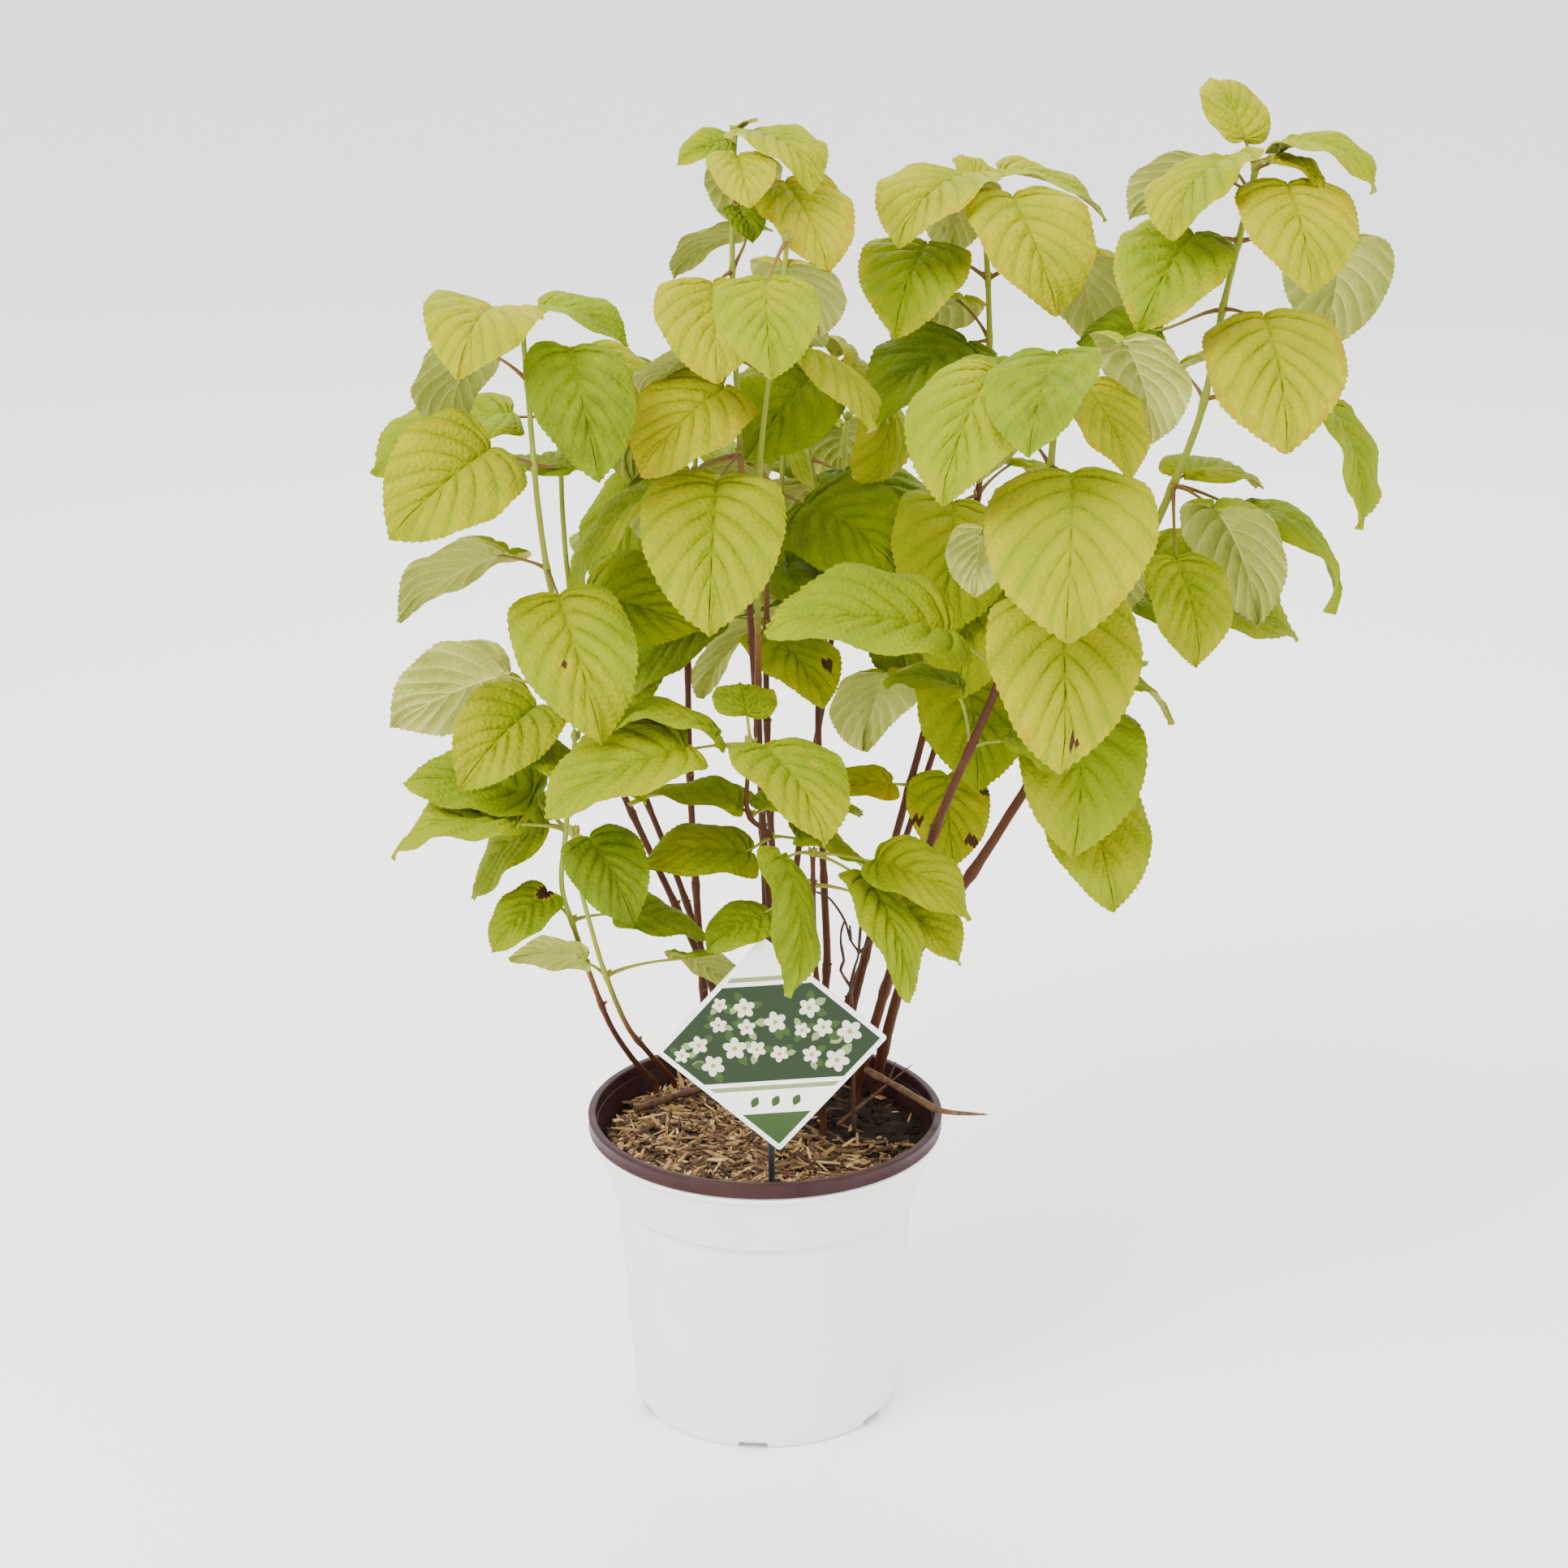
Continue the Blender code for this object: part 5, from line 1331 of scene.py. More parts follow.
def leaf_points(blade, node, values, rng, life):
    """Places of a leaf's points, in millimetres, on the same bent midrib as the solid's."""
    sx, sy, sz, length, bearing, droop, roll, arch, wide = all_numbers(values)
    base = np.array(node + Vector((sx, sy, sz)))
    chord, side, lift = (np.array(axis) for axis in blade_axes(bearing, droop, roll))
    x = blade.px.copy()
    y = blade.py * wide * rng.uniform(*WIDTH_SPREAD)
    s = blade.across
    edge = blade.col == blade.cols
    inner = (blade.row > 0) & (blade.row < blade.rows)
    tooth = np.where(blade.row % 2 == 0, TOOTH, -TOOTH) * (0.6 + 0.8 * np.abs(ripple(x, y, rng, TOOTH_WAVES)))
    tooth *= edge & inner
    x += tooth * (blade.out_x[blade.row] + 0.5)
    y += tooth * blade.out_y[blade.row] * blade.half
    rise = np.minimum(1.0, s / BULGE_FOOT) ** 0.7 * (1 - BULGE_LOSS * s ** 3)
    vigour = rng.uniform(*VIGOUR)
    relief = QUILT * vigour * length * blade.swell[blade.row] * rise
    relief += PUCKER * ripple(x, y, rng, PUCKER_WAVES) * rise * (0.4 + 0.6 * blade.swell[blade.row])
    width = np.abs(y) * length
    cup = math.tan(math.radians(BLADE_CUP)) * (1.0 + life * (rng.uniform(*FOLD) - 1.0))
    relief += width * cup * (1.45 - 0.45 * s * s)
    curl = life * np.where(blade.half > 0, rng.uniform(*SIDE_CURL), rng.uniform(*SIDE_CURL))
    relief -= curl * length * s ** 3
    tip = np.clip((blade.px - HOOK_FROM) / 0.45, 0.0, 1.0)
    relief -= life * rng.uniform(0.0, TIP_HOOK) * length * tip ** 2
    phase, pace = rng.uniform(0, 6.28), rng.uniform(*WAVE_PACE)
    wave = np.sin(2 * math.pi * pace * blade.px + phase + 1.3 * blade.half)
    relief += MARGIN_WAVE * length * wave * s ** 2.5 * (0.3 + 0.7 * life)
    relief -= RIM_FALL[0] * length * rng.uniform(0.0, RIM_FALL[1]) * s ** 5
    y = y + life * SWEEP * rng.uniform(-1, 1) * np.clip(x, 0, 1) ** 2
    skin = np.where(blade.rim, 0.0, BLADE_SKIN)
    ridge = np.where(blade.vein[blade.row], VEIN_RIDGE * (1 - s), 0.0)
    ridge = np.where(blade.col == 0, MIDRIB_RIDGE * (1 - 0.8 * np.clip(blade.px, 0, 1)), ridge)
    ridge = np.where(blade.rim, 0.0, ridge)
    relief -= np.where(blade.layer == 1, skin + ridge, 0.0)
    bend = math.radians(arch)
    turn = life * math.radians(rng.uniform(-TWIST, TWIST)) * np.clip(x, 0.0, 1.0)
    aside = y * length * np.cos(turn) - relief * np.sin(turn)
    relief = relief * np.cos(turn) + y * length * np.sin(turn)
    angle = bend * (x - 0.5)
    along = (np.sin(angle) + math.sin(bend / 2)) / bend * length
    fall = (math.cos(bend / 2) - np.cos(angle)) / bend * length
    up = np.outer(np.cos(angle), lift) + np.outer(np.sin(angle), chord)
    place = base + np.outer(along, chord) - np.outer(fall, lift)
    return place + np.outer(aside, side) + up * relief[:, None]


def leaf_tones(blade, tone, ochre, marks, rng):
    """Number of the tint of each face of a leaf, tops first and undersides after them."""
    x, y, s = blade.face_x, blade.face_y, blade.face_across
    (large, few), (small, many) = PATCHES
    shade = tone + large * ripple(x, y, rng, few) + small * ripple(x, y, rng, many)
    shade += BULGE_TONE * (blade.face_swell - 0.5) + SIDE_TONE[0] * (s - SIDE_TONE[1])
    veined = blade.face_vein | (blade.face_col == 0)
    shade += np.where(veined, -VEIN_DARKER if tone > YELLOW_FROM else VEIN_PALER * (tone < GREEN_BELOW), 0.0)
    usual, coarse, fine = BLOTCHES
    fringe = np.clip((s - FRINGE[0]) / FRINGE[1], 0, 1) ** 2
    blotch = usual + coarse * ripple(x, y, rng, 2.6) + fine * ripple(x, y, rng, 8)
    burnt = np.clip(ochre * BURNT_RIM * fringe * blotch, 0.0, BURNT_MOST)
    field = np.clip((s - BURNT_FIELD[0]) / BURNT_FIELD[1], 0, 1)
    burnt += ochre * BURNT_SPOTS * np.clip(ripple(x, y, rng, 3.4), 0, 1) * field
    shade = np.where(burnt > 0.0, np.minimum(shade + burnt, np.maximum(shade, OCHRE_MOST)), shade)
    for along, across, radius in marks:
        near = np.hypot(x - along, y - across) / radius + 0.18 * ripple(x, y, rng, 5)
        rim = np.where(near < 1.3, np.maximum(shade, MARK_TONES[1]), shade)
        shade = np.where(near < 1.0, MARK_TONES[0], rim)
    dither = np.array([rng.uniform(-DITHER, DITHER) for _ in range(len(x))])
    top = np.clip(np.round(shade * TINT_STEPS + dither), 0, tint_count(TOP_KEYS) - 1)
    # The underside's tint follows the top's tone: partly its own colour, partly painted light shining through
    # the blade.
    pale = UNDER_TONE[0] + UNDER_TONE[1] * tone + 0.22 * ripple(x, y, rng, 1.4)
    pale = pale + np.where(veined, UNDER_VEIN, 0.0)
    pale += 0.25 * (0.5 - blade.face_swell)
    under = np.clip(np.round(pale * TINT_STEPS + dither), 0, tint_count(UNDER_KEYS) - 1)
    return np.where(blade.face_layer == 0, top, under + tint_count(TOP_KEYS)).astype(int)


def tone_of(name, height, number, z, rng):
    """Tone and ochre margin of a leaf: from the table where it is listed, else by its height."""
    rows = [row for row, (at, _) in enumerate(LEAVES.get(name, ())) if at == height]
    if rows and number < len(TONES[name][rows[0]]):
        entry = TONES[name][rows[0]][number]
        if isinstance(entry, tuple):
            return entry
        usual = OCHRE_USUAL + OCHRE_GAIN[0] * max(0.0, entry - OCHRE_GAIN[1])
        return entry, usual
    low, high = HIDDEN_TONE
    foot, reach = HIDDEN_HEIGHTS
    share = min(max((z - foot) / reach, 0.0), 1.0)
    tone = low + (high - low) * share + rng.uniform(-HIDDEN_SPREAD, HIDDEN_SPREAD)
    return tone, OCHRE_USUAL + OCHRE_HIDDEN[0] * max(0.0, tone - OCHRE_HIDDEN[1])


def settled_points(blade, node, values, label, grown):
    """Points of a leaf that is bent less, step by step, until it crosses no leaf grown before it."""
    for number, life in enumerate(LIVES):
        points = leaf_points(blade, node, values, random.Random("%s %d" % (label, number)), life)
        low, high = points.min(axis=0), points.max(axis=0)
        tree = BVHTree.FromPolygons(points.tolist(), blade.faces)
        near = [other for at, to, other in grown if np.all(low < to) and np.all(high > at)]
        crossings = sum(len(tree.overlap(other)) for other in near)
        if number == 0 or crossings < best[0]:
            best = (crossings, points, (low, high, tree))
        if crossings == 0:
            break
    grown.append(best[2])
    return best[1]


def make_leaves(blade, name, leaves, mats, grown):
    """All leaves of one cane as one piece."""
    rng = random.Random("leaves " + name)
    verts, faces, picks = [], [], []
    met = {}
    for node, values, height in leaves:
        number = met.get(height, 0)
        met[height] = number + 1
        tone, ochre = tone_of(name, height, number, node.z, rng)
        marks = [mark[3:] for mark in MARKS if mark[:3] == (name, height, number)]
        base = len(verts)
        points = settled_points(blade, node, values, "leaf %s %d %d" % (name, height, number), grown)
        verts += points.tolist()
        faces += [[base + i for i in face] for face in blade.faces]
        picks += leaf_tones(blade, tone, ochre, marks, rng).tolist()
    obj = plain_mesh("leaves_" + name, verts, faces, mats, picks)
    drop_unused_slots(obj)
    smooth_shading(obj, LEAF_CREASE)
    return hand_over(obj, "foliage", "foliage_" + name)


# Canes, stalks and buds


def node_heights(name, rng):
    """Heights of the swollen nodes: the leafy ones, and bare ones below them."""
    leafy = sorted({height for height, _ in LEAVES.get(name, ())})
    path = cane_path(name)
    low = path[0][0].z
    heights = list(leafy)
    at = (leafy[0] if leafy else path[-1][0].z) - rng.uniform(*BARE_NODES)
    while at > low + 30:
        heights.append(at)
        at -= rng.uniform(*BARE_NODES)
    return sorted(heights)


def cane_tone(name, z, rng):
    turn = GREEN_FROM.get(name, GREEN_USUAL) / MM
    share = min(max((z - turn) / (TURN_ROOM / MM) + 0.5, 0.0), 1.0)
    return BARK_TONE + (GREEN_TONE - BARK_TONE) * share + rng.uniform(-0.2, 0.2)


def fine_cane(name, nodes, rng):
    """Stations close enough to show the swollen nodes and the slight bend at each."""
    coarse = cane_path(name)
    places = smooth_path([p for p, _ in coarse], CANE_GRAIN)
    low, high = places[0].z, places[-1].z
    first, last = coarse[0][1], coarse[-1][1]
    path = []
    for place in places:
        radius = first + (last - first) * (place.z - low) / (high - low)
        swell = sum(math.exp(-((place.z - node) / NODE_REACH) ** 2) for node in nodes)
        path.append((place, radius * (1 + NODE_SWELL * min(swell, 1.0)), cane_tone(name, place.z, rng)))
    start, radius, tone = path[0]
    return [(start - Vector((0, 0, FOOT_SINK)), radius * FOOT_FLARE, tone)] + path


def stalk_path(node, values, rng):
    """Leaf stalk that leaves its cane upwards and runs into the midrib."""
    base = node + Vector(values[:3])
    reach = base - node
    length, bearing, droop, _, arch, _ = all_numbers(values)[3:]
    heading = direction(bearing, droop - arch / 2)
    size = reach.length
    leave = (reach.normalized() + Vector((0, 0, STALK_LIFT))).normalized() * size
    arrive = (reach.normalized() + heading * STALK_BEND).normalized() * size
    end = base + heading * STALK_RUN[0] - Vector((0, 0, STALK_RUN[1]))
    path = []
    warm = STALK_TONES[0] if node.z > STALK_HIGH else STALK_TONES[1]
    for k in range(STALK_STATIONS):
        t = k / (STALK_STATIONS - 1)
        h00, h10 = 2 * t ** 3 - 3 * t ** 2 + 1, t ** 3 - 2 * t ** 2 + t
        h01, h11 = -2 * t ** 3 + 3 * t ** 2, t ** 3 - t ** 2
        place = node * h00 + leave * h10 + end * h01 + arrive * h11
        step = t * (len(STALK_GIRTHS) - 1)
        low = min(int(step), len(STALK_GIRTHS) - 2)
        girth = STALK_GIRTHS[low] + (STALK_GIRTHS[low + 1] - STALK_GIRTHS[low]) * (step - low)
        path.append((place, girth, warm + STALK_PALER * t + rng.uniform(-0.3, 0.3)))
    share, most, depth, thin = STALK_POINT
    tip = base + heading * min(length * share, most) - Vector((0, 0, depth))
    path.append((tip, thin, warm + 1.6))
    return path


def bud_shape():
    """Points and faces of a pointed bud, one unit long, that stands on its foot."""
    points = []
    for height, girth in BUD_RINGS:
        points += [Vector((c * girth, s * girth, height)) for c, s in circle(BUD_SIDES)]
    tip = len(points)
    points.append(Vector((0, 0, 1)))
    faces = [list(reversed(range(BUD_SIDES)))]
    for k in range(tip):
        across = k - k % BUD_SIDES + (k + 1) % BUD_SIDES
        above = [across + BUD_SIDES, k + BUD_SIDES] if k < tip - BUD_SIDES else [tip]
        faces.append([k, across] + above)
    return points, faces


def make_buds(name, spots, mats):
    """Buds in the axils and at the tips. A spot is (place, aim, size, tone)."""
    verts, faces, picks = [], [], []
    points, rings = bud_shape()
    for place, aim, size, tone in spots:
        turn = aim.to_track_quat("Z", "Y").to_matrix()
        base = len(verts)
        long, wide = BUD_SIZE[0] * size, BUD_SIZE[1] * size
        verts += [place + turn @ Vector((p.x * wide, p.y * wide, p.z * long)) for p in points]
        faces += [[base + i for i in ring] for ring in rings]
        picks += [max(0, min(len(mats) - 1, round(tone * TINT_STEPS)))] * len(rings)
    obj = plain_mesh("buds_" + name, verts, faces, mats, picks)
    drop_unused_slots(obj)
    smooth_shading(obj, BUD_CREASE)
    return hand_over(obj, "foliage")


def bud_spots(name, nodes, leaves, rng):
    """A pair of buds at each bare node, one in the axil of each leaf, and a few at the tip."""
    path = cane_path(name)
    leafy = {height for _, _, height in leaves}
    spots = []
    turn = rng.uniform(0, 180)
    for height in nodes:
        place, radius = split_at(path, height)
        turn += 90
        if height in leafy:
            continue
        for half in (0, 180):
            out = direction(turn + half + rng.uniform(-12, 12), -38)
            size = rng.uniform(*BUD_BARE)
            spots.append((place + out * radius * 0.5, out, size, cane_tone(name, height, rng) + 0.6))
    for node, values, height in leaves:
        out = Vector((values[0], values[1], 0)).normalized() if values[0] or values[1] else Vector((1, 0, 0))
        aim = (out + Vector((0, 0, 1.5))).normalized()
        spots.append((node + aim * 1.2, aim, rng.uniform(*BUD_AXIL), BUD_TONE))
    top = path[-1][0]
    for k in range(TIP_BUDS):
        aim = direction(k * 360 / TIP_BUDS + rng.uniform(-20, 20), -rng.uniform(55, 75)).normalized()
        spots.append((top - Vector((0, 0, 0.8)), aim, rng.uniform(*BUD_TIP), BUD_TONE + 0.2))
    return spots


def make_cane(name, leaves, tree, mats):
    rng = random.Random("cane " + name)
    nodes = node_heights(name, rng)
    paths = [fine_cane(name, nodes, rng)]
    if name == CUT_STUB_CANE:
        shoot = smooth_path(CUT_STUB, CANE_GRAIN)
        paths.append([(place, CUT_STUB_GIRTH, BARK_TONE + CUT_STUB_PALER) for place in shoot])
    limb = grow_limbs("cane_bark_" + name, paths, tree, *CANE_BARK)
    hand_over(limb, "bark", "cane_" + name)
    stalks = [stalk_path(node, values, rng) for node, values, _ in leaves]
    twigs = grow_limbs("stalks_" + name, stalks, tree, *STALK_BARK)
    hand_over(twigs, "foliage", "foliage_" + name)
    make_buds(name, bud_spots(name, nodes, leaves, rng), mats)


# Old wood on the soil


def wood_paths(name):
    """Main limb of an old piece and its side forks."""
    main = stub_path(name)
    if name == "pruned_branch":
        thick, lost, point = BRANCH_GIRTHS
        stout = [(place, thick - lost * (k / len(main)) ** 3) for k, (place, _) in enumerate(main)]
        return [stout + [(main[-1][0] + Vector((6, -1, 0.5)), point)]]
    if name == "lying_stub":
        return [[(place + Vector((0, 0, STUB_LIFT)), radius) for place, radius in main]]
    if name == "thin_spur":
        end = main[-1][0]
        thorn = [(main[-2][0].lerp(end, 0.6), 0.9), (end + Vector((-6, -4, 8)), 0.35)]
        return [main[:-1] + [(end, 0.8), (end + Vector((5, 4, 2)), 0.3)], thorn]
    low = [station for station in main if station[0].z < TWIG_LOOPS[0][0][2]]
    loops = []
    for places in TWIG_LOOPS:
        count = len(places) - 1
        loops.append([(Vector(p), TWIG_GIRTH * (1 - TWIG_TAPER * k / count)) for k, p in enumerate(places)])
    return [low + loops[0]] + loops[1:]


def knotty(path, phase):
    """Stations close enough to show the knots of a piece of old wood."""
    places = smooth_path([p for p, _ in path], WOOD_GRAIN)
    girths = [radius for _, radius in path]
    swell, quick, slow = KNOTS
    fine = []
    for index, place in enumerate(places):
        share = index / (len(places) - 1)
        radius = float(np.interp(share * (len(girths) - 1), range(len(girths)), girths))
        knot = 1 + swell * math.sin(share * quick + phase) * math.sin(share * slow)
        fine.append((place, max(radius * knot, LEAST_GIRTH), 0.0))
    return fine


def make_old_wood(mats):
    for name in STUBS:
        paths = [knotty(path, len(name)) for path in wood_paths(name)]
        tree = limb_grower([mats[OLD_WOOD_PICKS[name]]])
        piece = grow_limbs("old_wood_" + name, paths, tree, *WOOD_BARK)
        hand_over(piece, "bark", name)


# Pot, soil and mulch


def lathe(name, profile, sides, mat, angle):
    """Closed solid of revolution from (radius, height) pairs, in millimetres."""
    bm = bmesh.new()
    rings = []
    for radius, height in profile:
        if radius < 1e-6:
            rings.append([bm.verts.new((0, 0, height * MM))])
            continue
        places = [(radius * c * MM, radius * s * MM, height * MM) for c, s in circle(sides)]
        rings.append([bm.verts.new(place) for place in places])
    pairs = list(zip(rings, rings[1:]))
    if profile[0][0] > 1e-6:
        pairs.append((rings[-1], rings[0]))
    for one, two in pairs:
        if len(one) == len(two) == 1:
            continue
        for k in range(sides):
            across = (k + 1) % sides
            if len(one) == 1:
                bm.faces.new((one[0], two[k], two[across]))
            elif len(two) == 1:
                bm.faces.new((one[across], one[k], two[0]))
            else:
                bm.faces.new((one[across], one[k], two[k], two[across]))
    mesh = baked(bm, name)
    turn_outwards(mesh)
    mesh.materials.append(mat)
    obj = in_scene(name, mesh)
    smooth_shading(obj, angle)
    return obj


def bake_modifiers(obj):
    mesh = evaluated_mesh(obj)
    obj.modifiers.clear()
    obj.data = mesh
    mesh.name = obj.name


def around(radius, height, offsets):
    """Points of a profile, out and up from one of its corners."""
    return [(radius + out, height + up) for out, up in offsets]


def make_pot():
    """White pot: rolled lip, sloping collar, small step, tapering body and slots under its foot."""
    lip = POT_HEIGHT - RIM_DEPTH - GAP
    top = COLLAR_TOP_RADIUS
    rolled = around(top, lip, LIP_PROFILE) + [(top - LIP_INSET, lip - COLLAR_RISE)]
    collar = []
    for k in range(1, COLLAR_STEPS):
        share = k / COLLAR_STEPS
        radius = top - LIP_INSET + (COLLAR_FOOT_RADIUS + COLLAR_END[0] - top + LIP_INSET) * share
        drop = COLLAR_FOOT_Z + COLLAR_END[1] - lip + COLLAR_RISE
        collar.append((radius, lip - COLLAR_RISE + drop * share))
    step = around(COLLAR_FOOT_RADIUS, COLLAR_FOOT_Z, STEP_PROFILE)
    step += [(NECK_RADIUS, COLLAR_FOOT_Z - depth) for depth in GROOVE_HEIGHTS]
    step.append((BODY_TOP_RADIUS, COLLAR_FOOT_Z - GROOVE_FOOT))
    body = []
    for k in range(1, COLLAR_STEPS + 1):
        share = k / COLLAR_STEPS
        radius = BODY_TOP_RADIUS + (BODY_FOOT_RADIUS - BODY_TOP_RADIUS) * share
        height = COLLAR_FOOT_Z - GROOVE_FOOT + (BODY_FOOT_Z - COLLAR_FOOT_Z + GROOVE_FOOT) * share
        body.append((radius, height))
    foot = around(BODY_FOOT_RADIUS, 0.0, FOOT_CURVE) + around(FOOT_RADIUS, 0.0, FOOT_ROUND) + [(0, 0)]
    inside = [(0, BASE_THICK), (wall_radius(8) - 2, BASE_THICK), (wall_radius(8), 8),
              (BODY_TOP_RADIUS - POT_WALL, COLLAR_FOOT_Z - 1)]
    inside += [(wall_radius(z), z) for z in (COLLAR_FOOT_Z + 1, lip - 4, lip)]
    profile = rolled + collar + step + body + foot + inside
    pot = lathe("pot_shell", profile, TURN_SIDES, pot_finish(), POT_CREASE)
    cutters = bpy.data.collections.new("slots")
    bpy.context.scene.collection.children.link(cutters)
    for index in range(SLOT_COUNT):
        bearing = math.radians(SLOT_TURN + index * 360.0 / SLOT_COUNT)
        bm = box_bmesh((FOOT_RADIUS * math.cos(bearing), FOOT_RADIUS * math.sin(bearing), 0),
                       (SLOT_DEPTH * 2, SLOT_WIDTH, SLOT_HEIGHT * 2), Matrix.Rotation(bearing, 4, "Z"))
        bmesh.ops.bevel(bm, geom=list(bm.edges), offset=0.9, segments=2, affect="EDGES")
        bmesh.ops.scale(bm, vec=(MM, MM, MM), verts=bm.verts)
        cutters.objects.link(bpy.data.objects.new("slot_%d" % index, baked(bm, "slot")))
    cut = pot.modifiers.new("slots", "BOOLEAN")
    cut.operation = "DIFFERENCE"
    cut.operand_type = "COLLECTION"
    cut.collection = cutters
    cut.solver = "EXACT"
    bake_modifiers(pot)
    for other in list(cutters.objects):
        bpy.data.objects.remove(other)
    bpy.data.collections.remove(cutters)
    smooth_shading(pot, POT_CREASE)
    hand_over(pot, "pot_white", "pot")


def make_lining():
    """Brown inner pot: lip line on top, plain band outside, plain wall inside."""
    foot = POT_HEIGHT - RIM_DEPTH
    outer = around(RIM_RADIUS, POT_HEIGHT, BAND_TOP) + around(RIM_RADIUS, foot, BAND_FOOT)
    for z in (foot, COLLAR_FOOT_Z + 1, COLLAR_FOOT_Z - 1, LINING_FOOT_Z):
        outer.append((lining_radius(z), z))
    inner = []
    for z in (LINING_FOOT_Z, COLLAR_FOOT_Z - 1, COLLAR_FOOT_Z + 1,
              SOIL_TOP - 6, SOIL_TOP, SOIL_TOP + 4, foot):
        inner.append((lining_radius(min(z, foot)) - LINING_WALL, z))
    last = inner[-1][0]
    inner += around(last, foot, BAND_INSIDE) + around(last, POT_HEIGHT, BAND_INSIDE_TOP)
    lining = lathe("pot_lining_wall", outer + inner, TURN_SIDES, lining_finish(), 40)
    hand_over(lining, "pot_brown", "pot_lining")


def cover_at(x, y):
    """How thickly the mulch lies: thick at the front and left, thin at the right and the back."""
    bearing = math.degrees(math.atan2(y, x))
    middle, width, start = BARE_SIDE
    thin = min(1.0, math.hypot(x, y) / start) / (1.0 + ((bearing - middle) / width) ** 6)
    dark = sum(math.exp(-((x - ax) ** 2 + (y - ay) ** 2) / spread) for ax, ay, spread in DARK_PATCHES)
    back = BACK_THINNER * max(0.0, y / SOIL_RADIUS)
    return max(LEAST_COVER, 1.0 - BARE_MOST * thin - DARK_MOST * min(dark, 1.0) - back)


def soil_height(x, y, waves):
    total = 0.0
    for ax, ay, phase in waves:
        total += math.sin(ax * x + ay * y + phase)
    edge = max(0.0, math.hypot(x, y) / SOIL_RADIUS - EDGE_FROM) / 0.2
    return SOIL_TOP - SOIL_SINK + SOIL_RIPPLE * total / len(waves) * 2.0 - EDGE_FALL * edge ** 2


def make_soil():
    """Crumbly top of the compost, closed down to the foot of the pot."""
    rng = random.Random("soil")
    waves = []
    for _ in range(SOIL_WAVES):
        paces = [rng.uniform(-SOIL_PACE, SOIL_PACE) for _ in range(2)]
        waves.append((*paces, rng.uniform(0, 6.3)))
    verts = [(0, 0, soil_height(0, 0, waves))]
    for ring in range(1, SOIL_RINGS + 1):
        radius = SOIL_RADIUS * ring / SOIL_RINGS
        for c, s in circle(SOIL_SPOKES):
            x, y = radius * c, radius * s
            crumb = 0.0 if ring == SOIL_RINGS else rng.uniform(-SOIL_CRUMB, SOIL_CRUMB)
            verts.append((x, y, soil_height(x, y, waves) + crumb))
    faces = [(0, 1 + k, 1 + (k + 1) % SOIL_SPOKES) for k in range(SOIL_SPOKES)]
    for ring in range(SOIL_RINGS - 1):
        faces += ring_quads(1 + ring * SOIL_SPOKES, 1 + (ring + 1) * SOIL_SPOKES, SOIL_SPOKES)
    top = len(faces)
    edge = 1 + (SOIL_RINGS - 1) * SOIL_SPOKES
    low = len(verts)
    rings = [(soil_radius(z), z) for z in (COLLAR_FOOT_Z + 1, COLLAR_FOOT_Z - 1, LINING_FOOT_Z)]
    last = edge
    for radius, z in rings + [(SOIL_FOOT_RADIUS, BASE_THICK + 6), (SOIL_FOOT_RADIUS - 4, BASE_THICK + GAP)]:
        base = len(verts)
        verts += [(radius * c, radius * s, z) for c, s in circle(SOIL_SPOKES)]
        faces += ring_quads(last, base, SOIL_SPOKES)
        last = base
    faces.append(tuple(last + k for k in reversed(range(SOIL_SPOKES))))
    soil = plain_mesh("compost", verts, faces, [compost_finish()])
    smooth_shading(soil, 60)
    hand_over(soil, "mulch", "soil")
    bed = plain_mesh("bed", verts[:low], faces[:top], [])
    cover = [cover_at(v[0], v[1]) * (math.hypot(v[0], v[1]) < SOIL_RADIUS - 6) for v in verts[:low]]
    bed.data.attributes.new("cover", "FLOAT", "POINT").data.foreach_set("value", cover)
    return bed


def splinter(name, size, rng):
    """Flat piece of chipped wood with broken ends."""
    long, wide, thick = size
    verts, faces = [], []
    last = CHIP_STATIONS - 1
    bend = rng.uniform(-CHIP_BEND, CHIP_BEND) * long
    for k in range(CHIP_STATIONS):
        t = k / last
        x = (t - 0.5) * long
        taper = 0.35 + 0.65 * math.sin(math.pi * min(max(t, 0.12), 0.88)) ** 0.6
        half = wide / 2 * taper * rng.uniform(*CHIP_WIDTHS)
        flat = thick / 2 * rng.uniform(*CHIP_THICKS) * (0.6 if k in (0, last) else 1.0)
        z = bend * 4 * (t - 0.5) ** 2
        skew = rng.uniform(-CHIP_SKEW, CHIP_SKEW) * wide
        verts += [(x + skew, -half, z - flat), (x, half, z - flat),
                  (x - skew, half * 0.8, z + flat), (x, -half * 0.9, z + flat)]
    for k in range(last):
        faces += ring_quads(4 * k, 4 * (k + 1), 4)
    faces = [tuple(reversed(face)) for face in faces]
    faces += [(0, 1, 2, 3), tuple(4 * last + k for k in (3, 2, 1, 0))]
    return loose_shape(name, verts, faces)


def loose_shape(name, verts, faces):
    """Object in no scene, for a node tree to copy, with its faces turned outwards."""
    mesh = mesh_of(name, verts, faces)
    turn_outwards(mesh)
    return bpy.data.objects.new(name, mesh)


def lump(name, rng):
    bm = bmesh.new()
    bmesh.ops.create_icosphere(bm, subdivisions=2, radius=LUMP_SIZE)
    for vert in bm.verts:
        vert.co *= rng.uniform(*LUMP_SPREAD)
        vert.co.z *= LUMP_FLAT
    verts = [v.co.copy() for v in bm.verts]
    faces = [[v.index for v in face.verts] for face in bm.faces]
    bm.free()
    return loose_shape(name, verts, faces)


def shapes_of(name, objects):
    group = bpy.data.collections.new(name)
    for obj in objects:
        group.objects.link(obj)
    return group


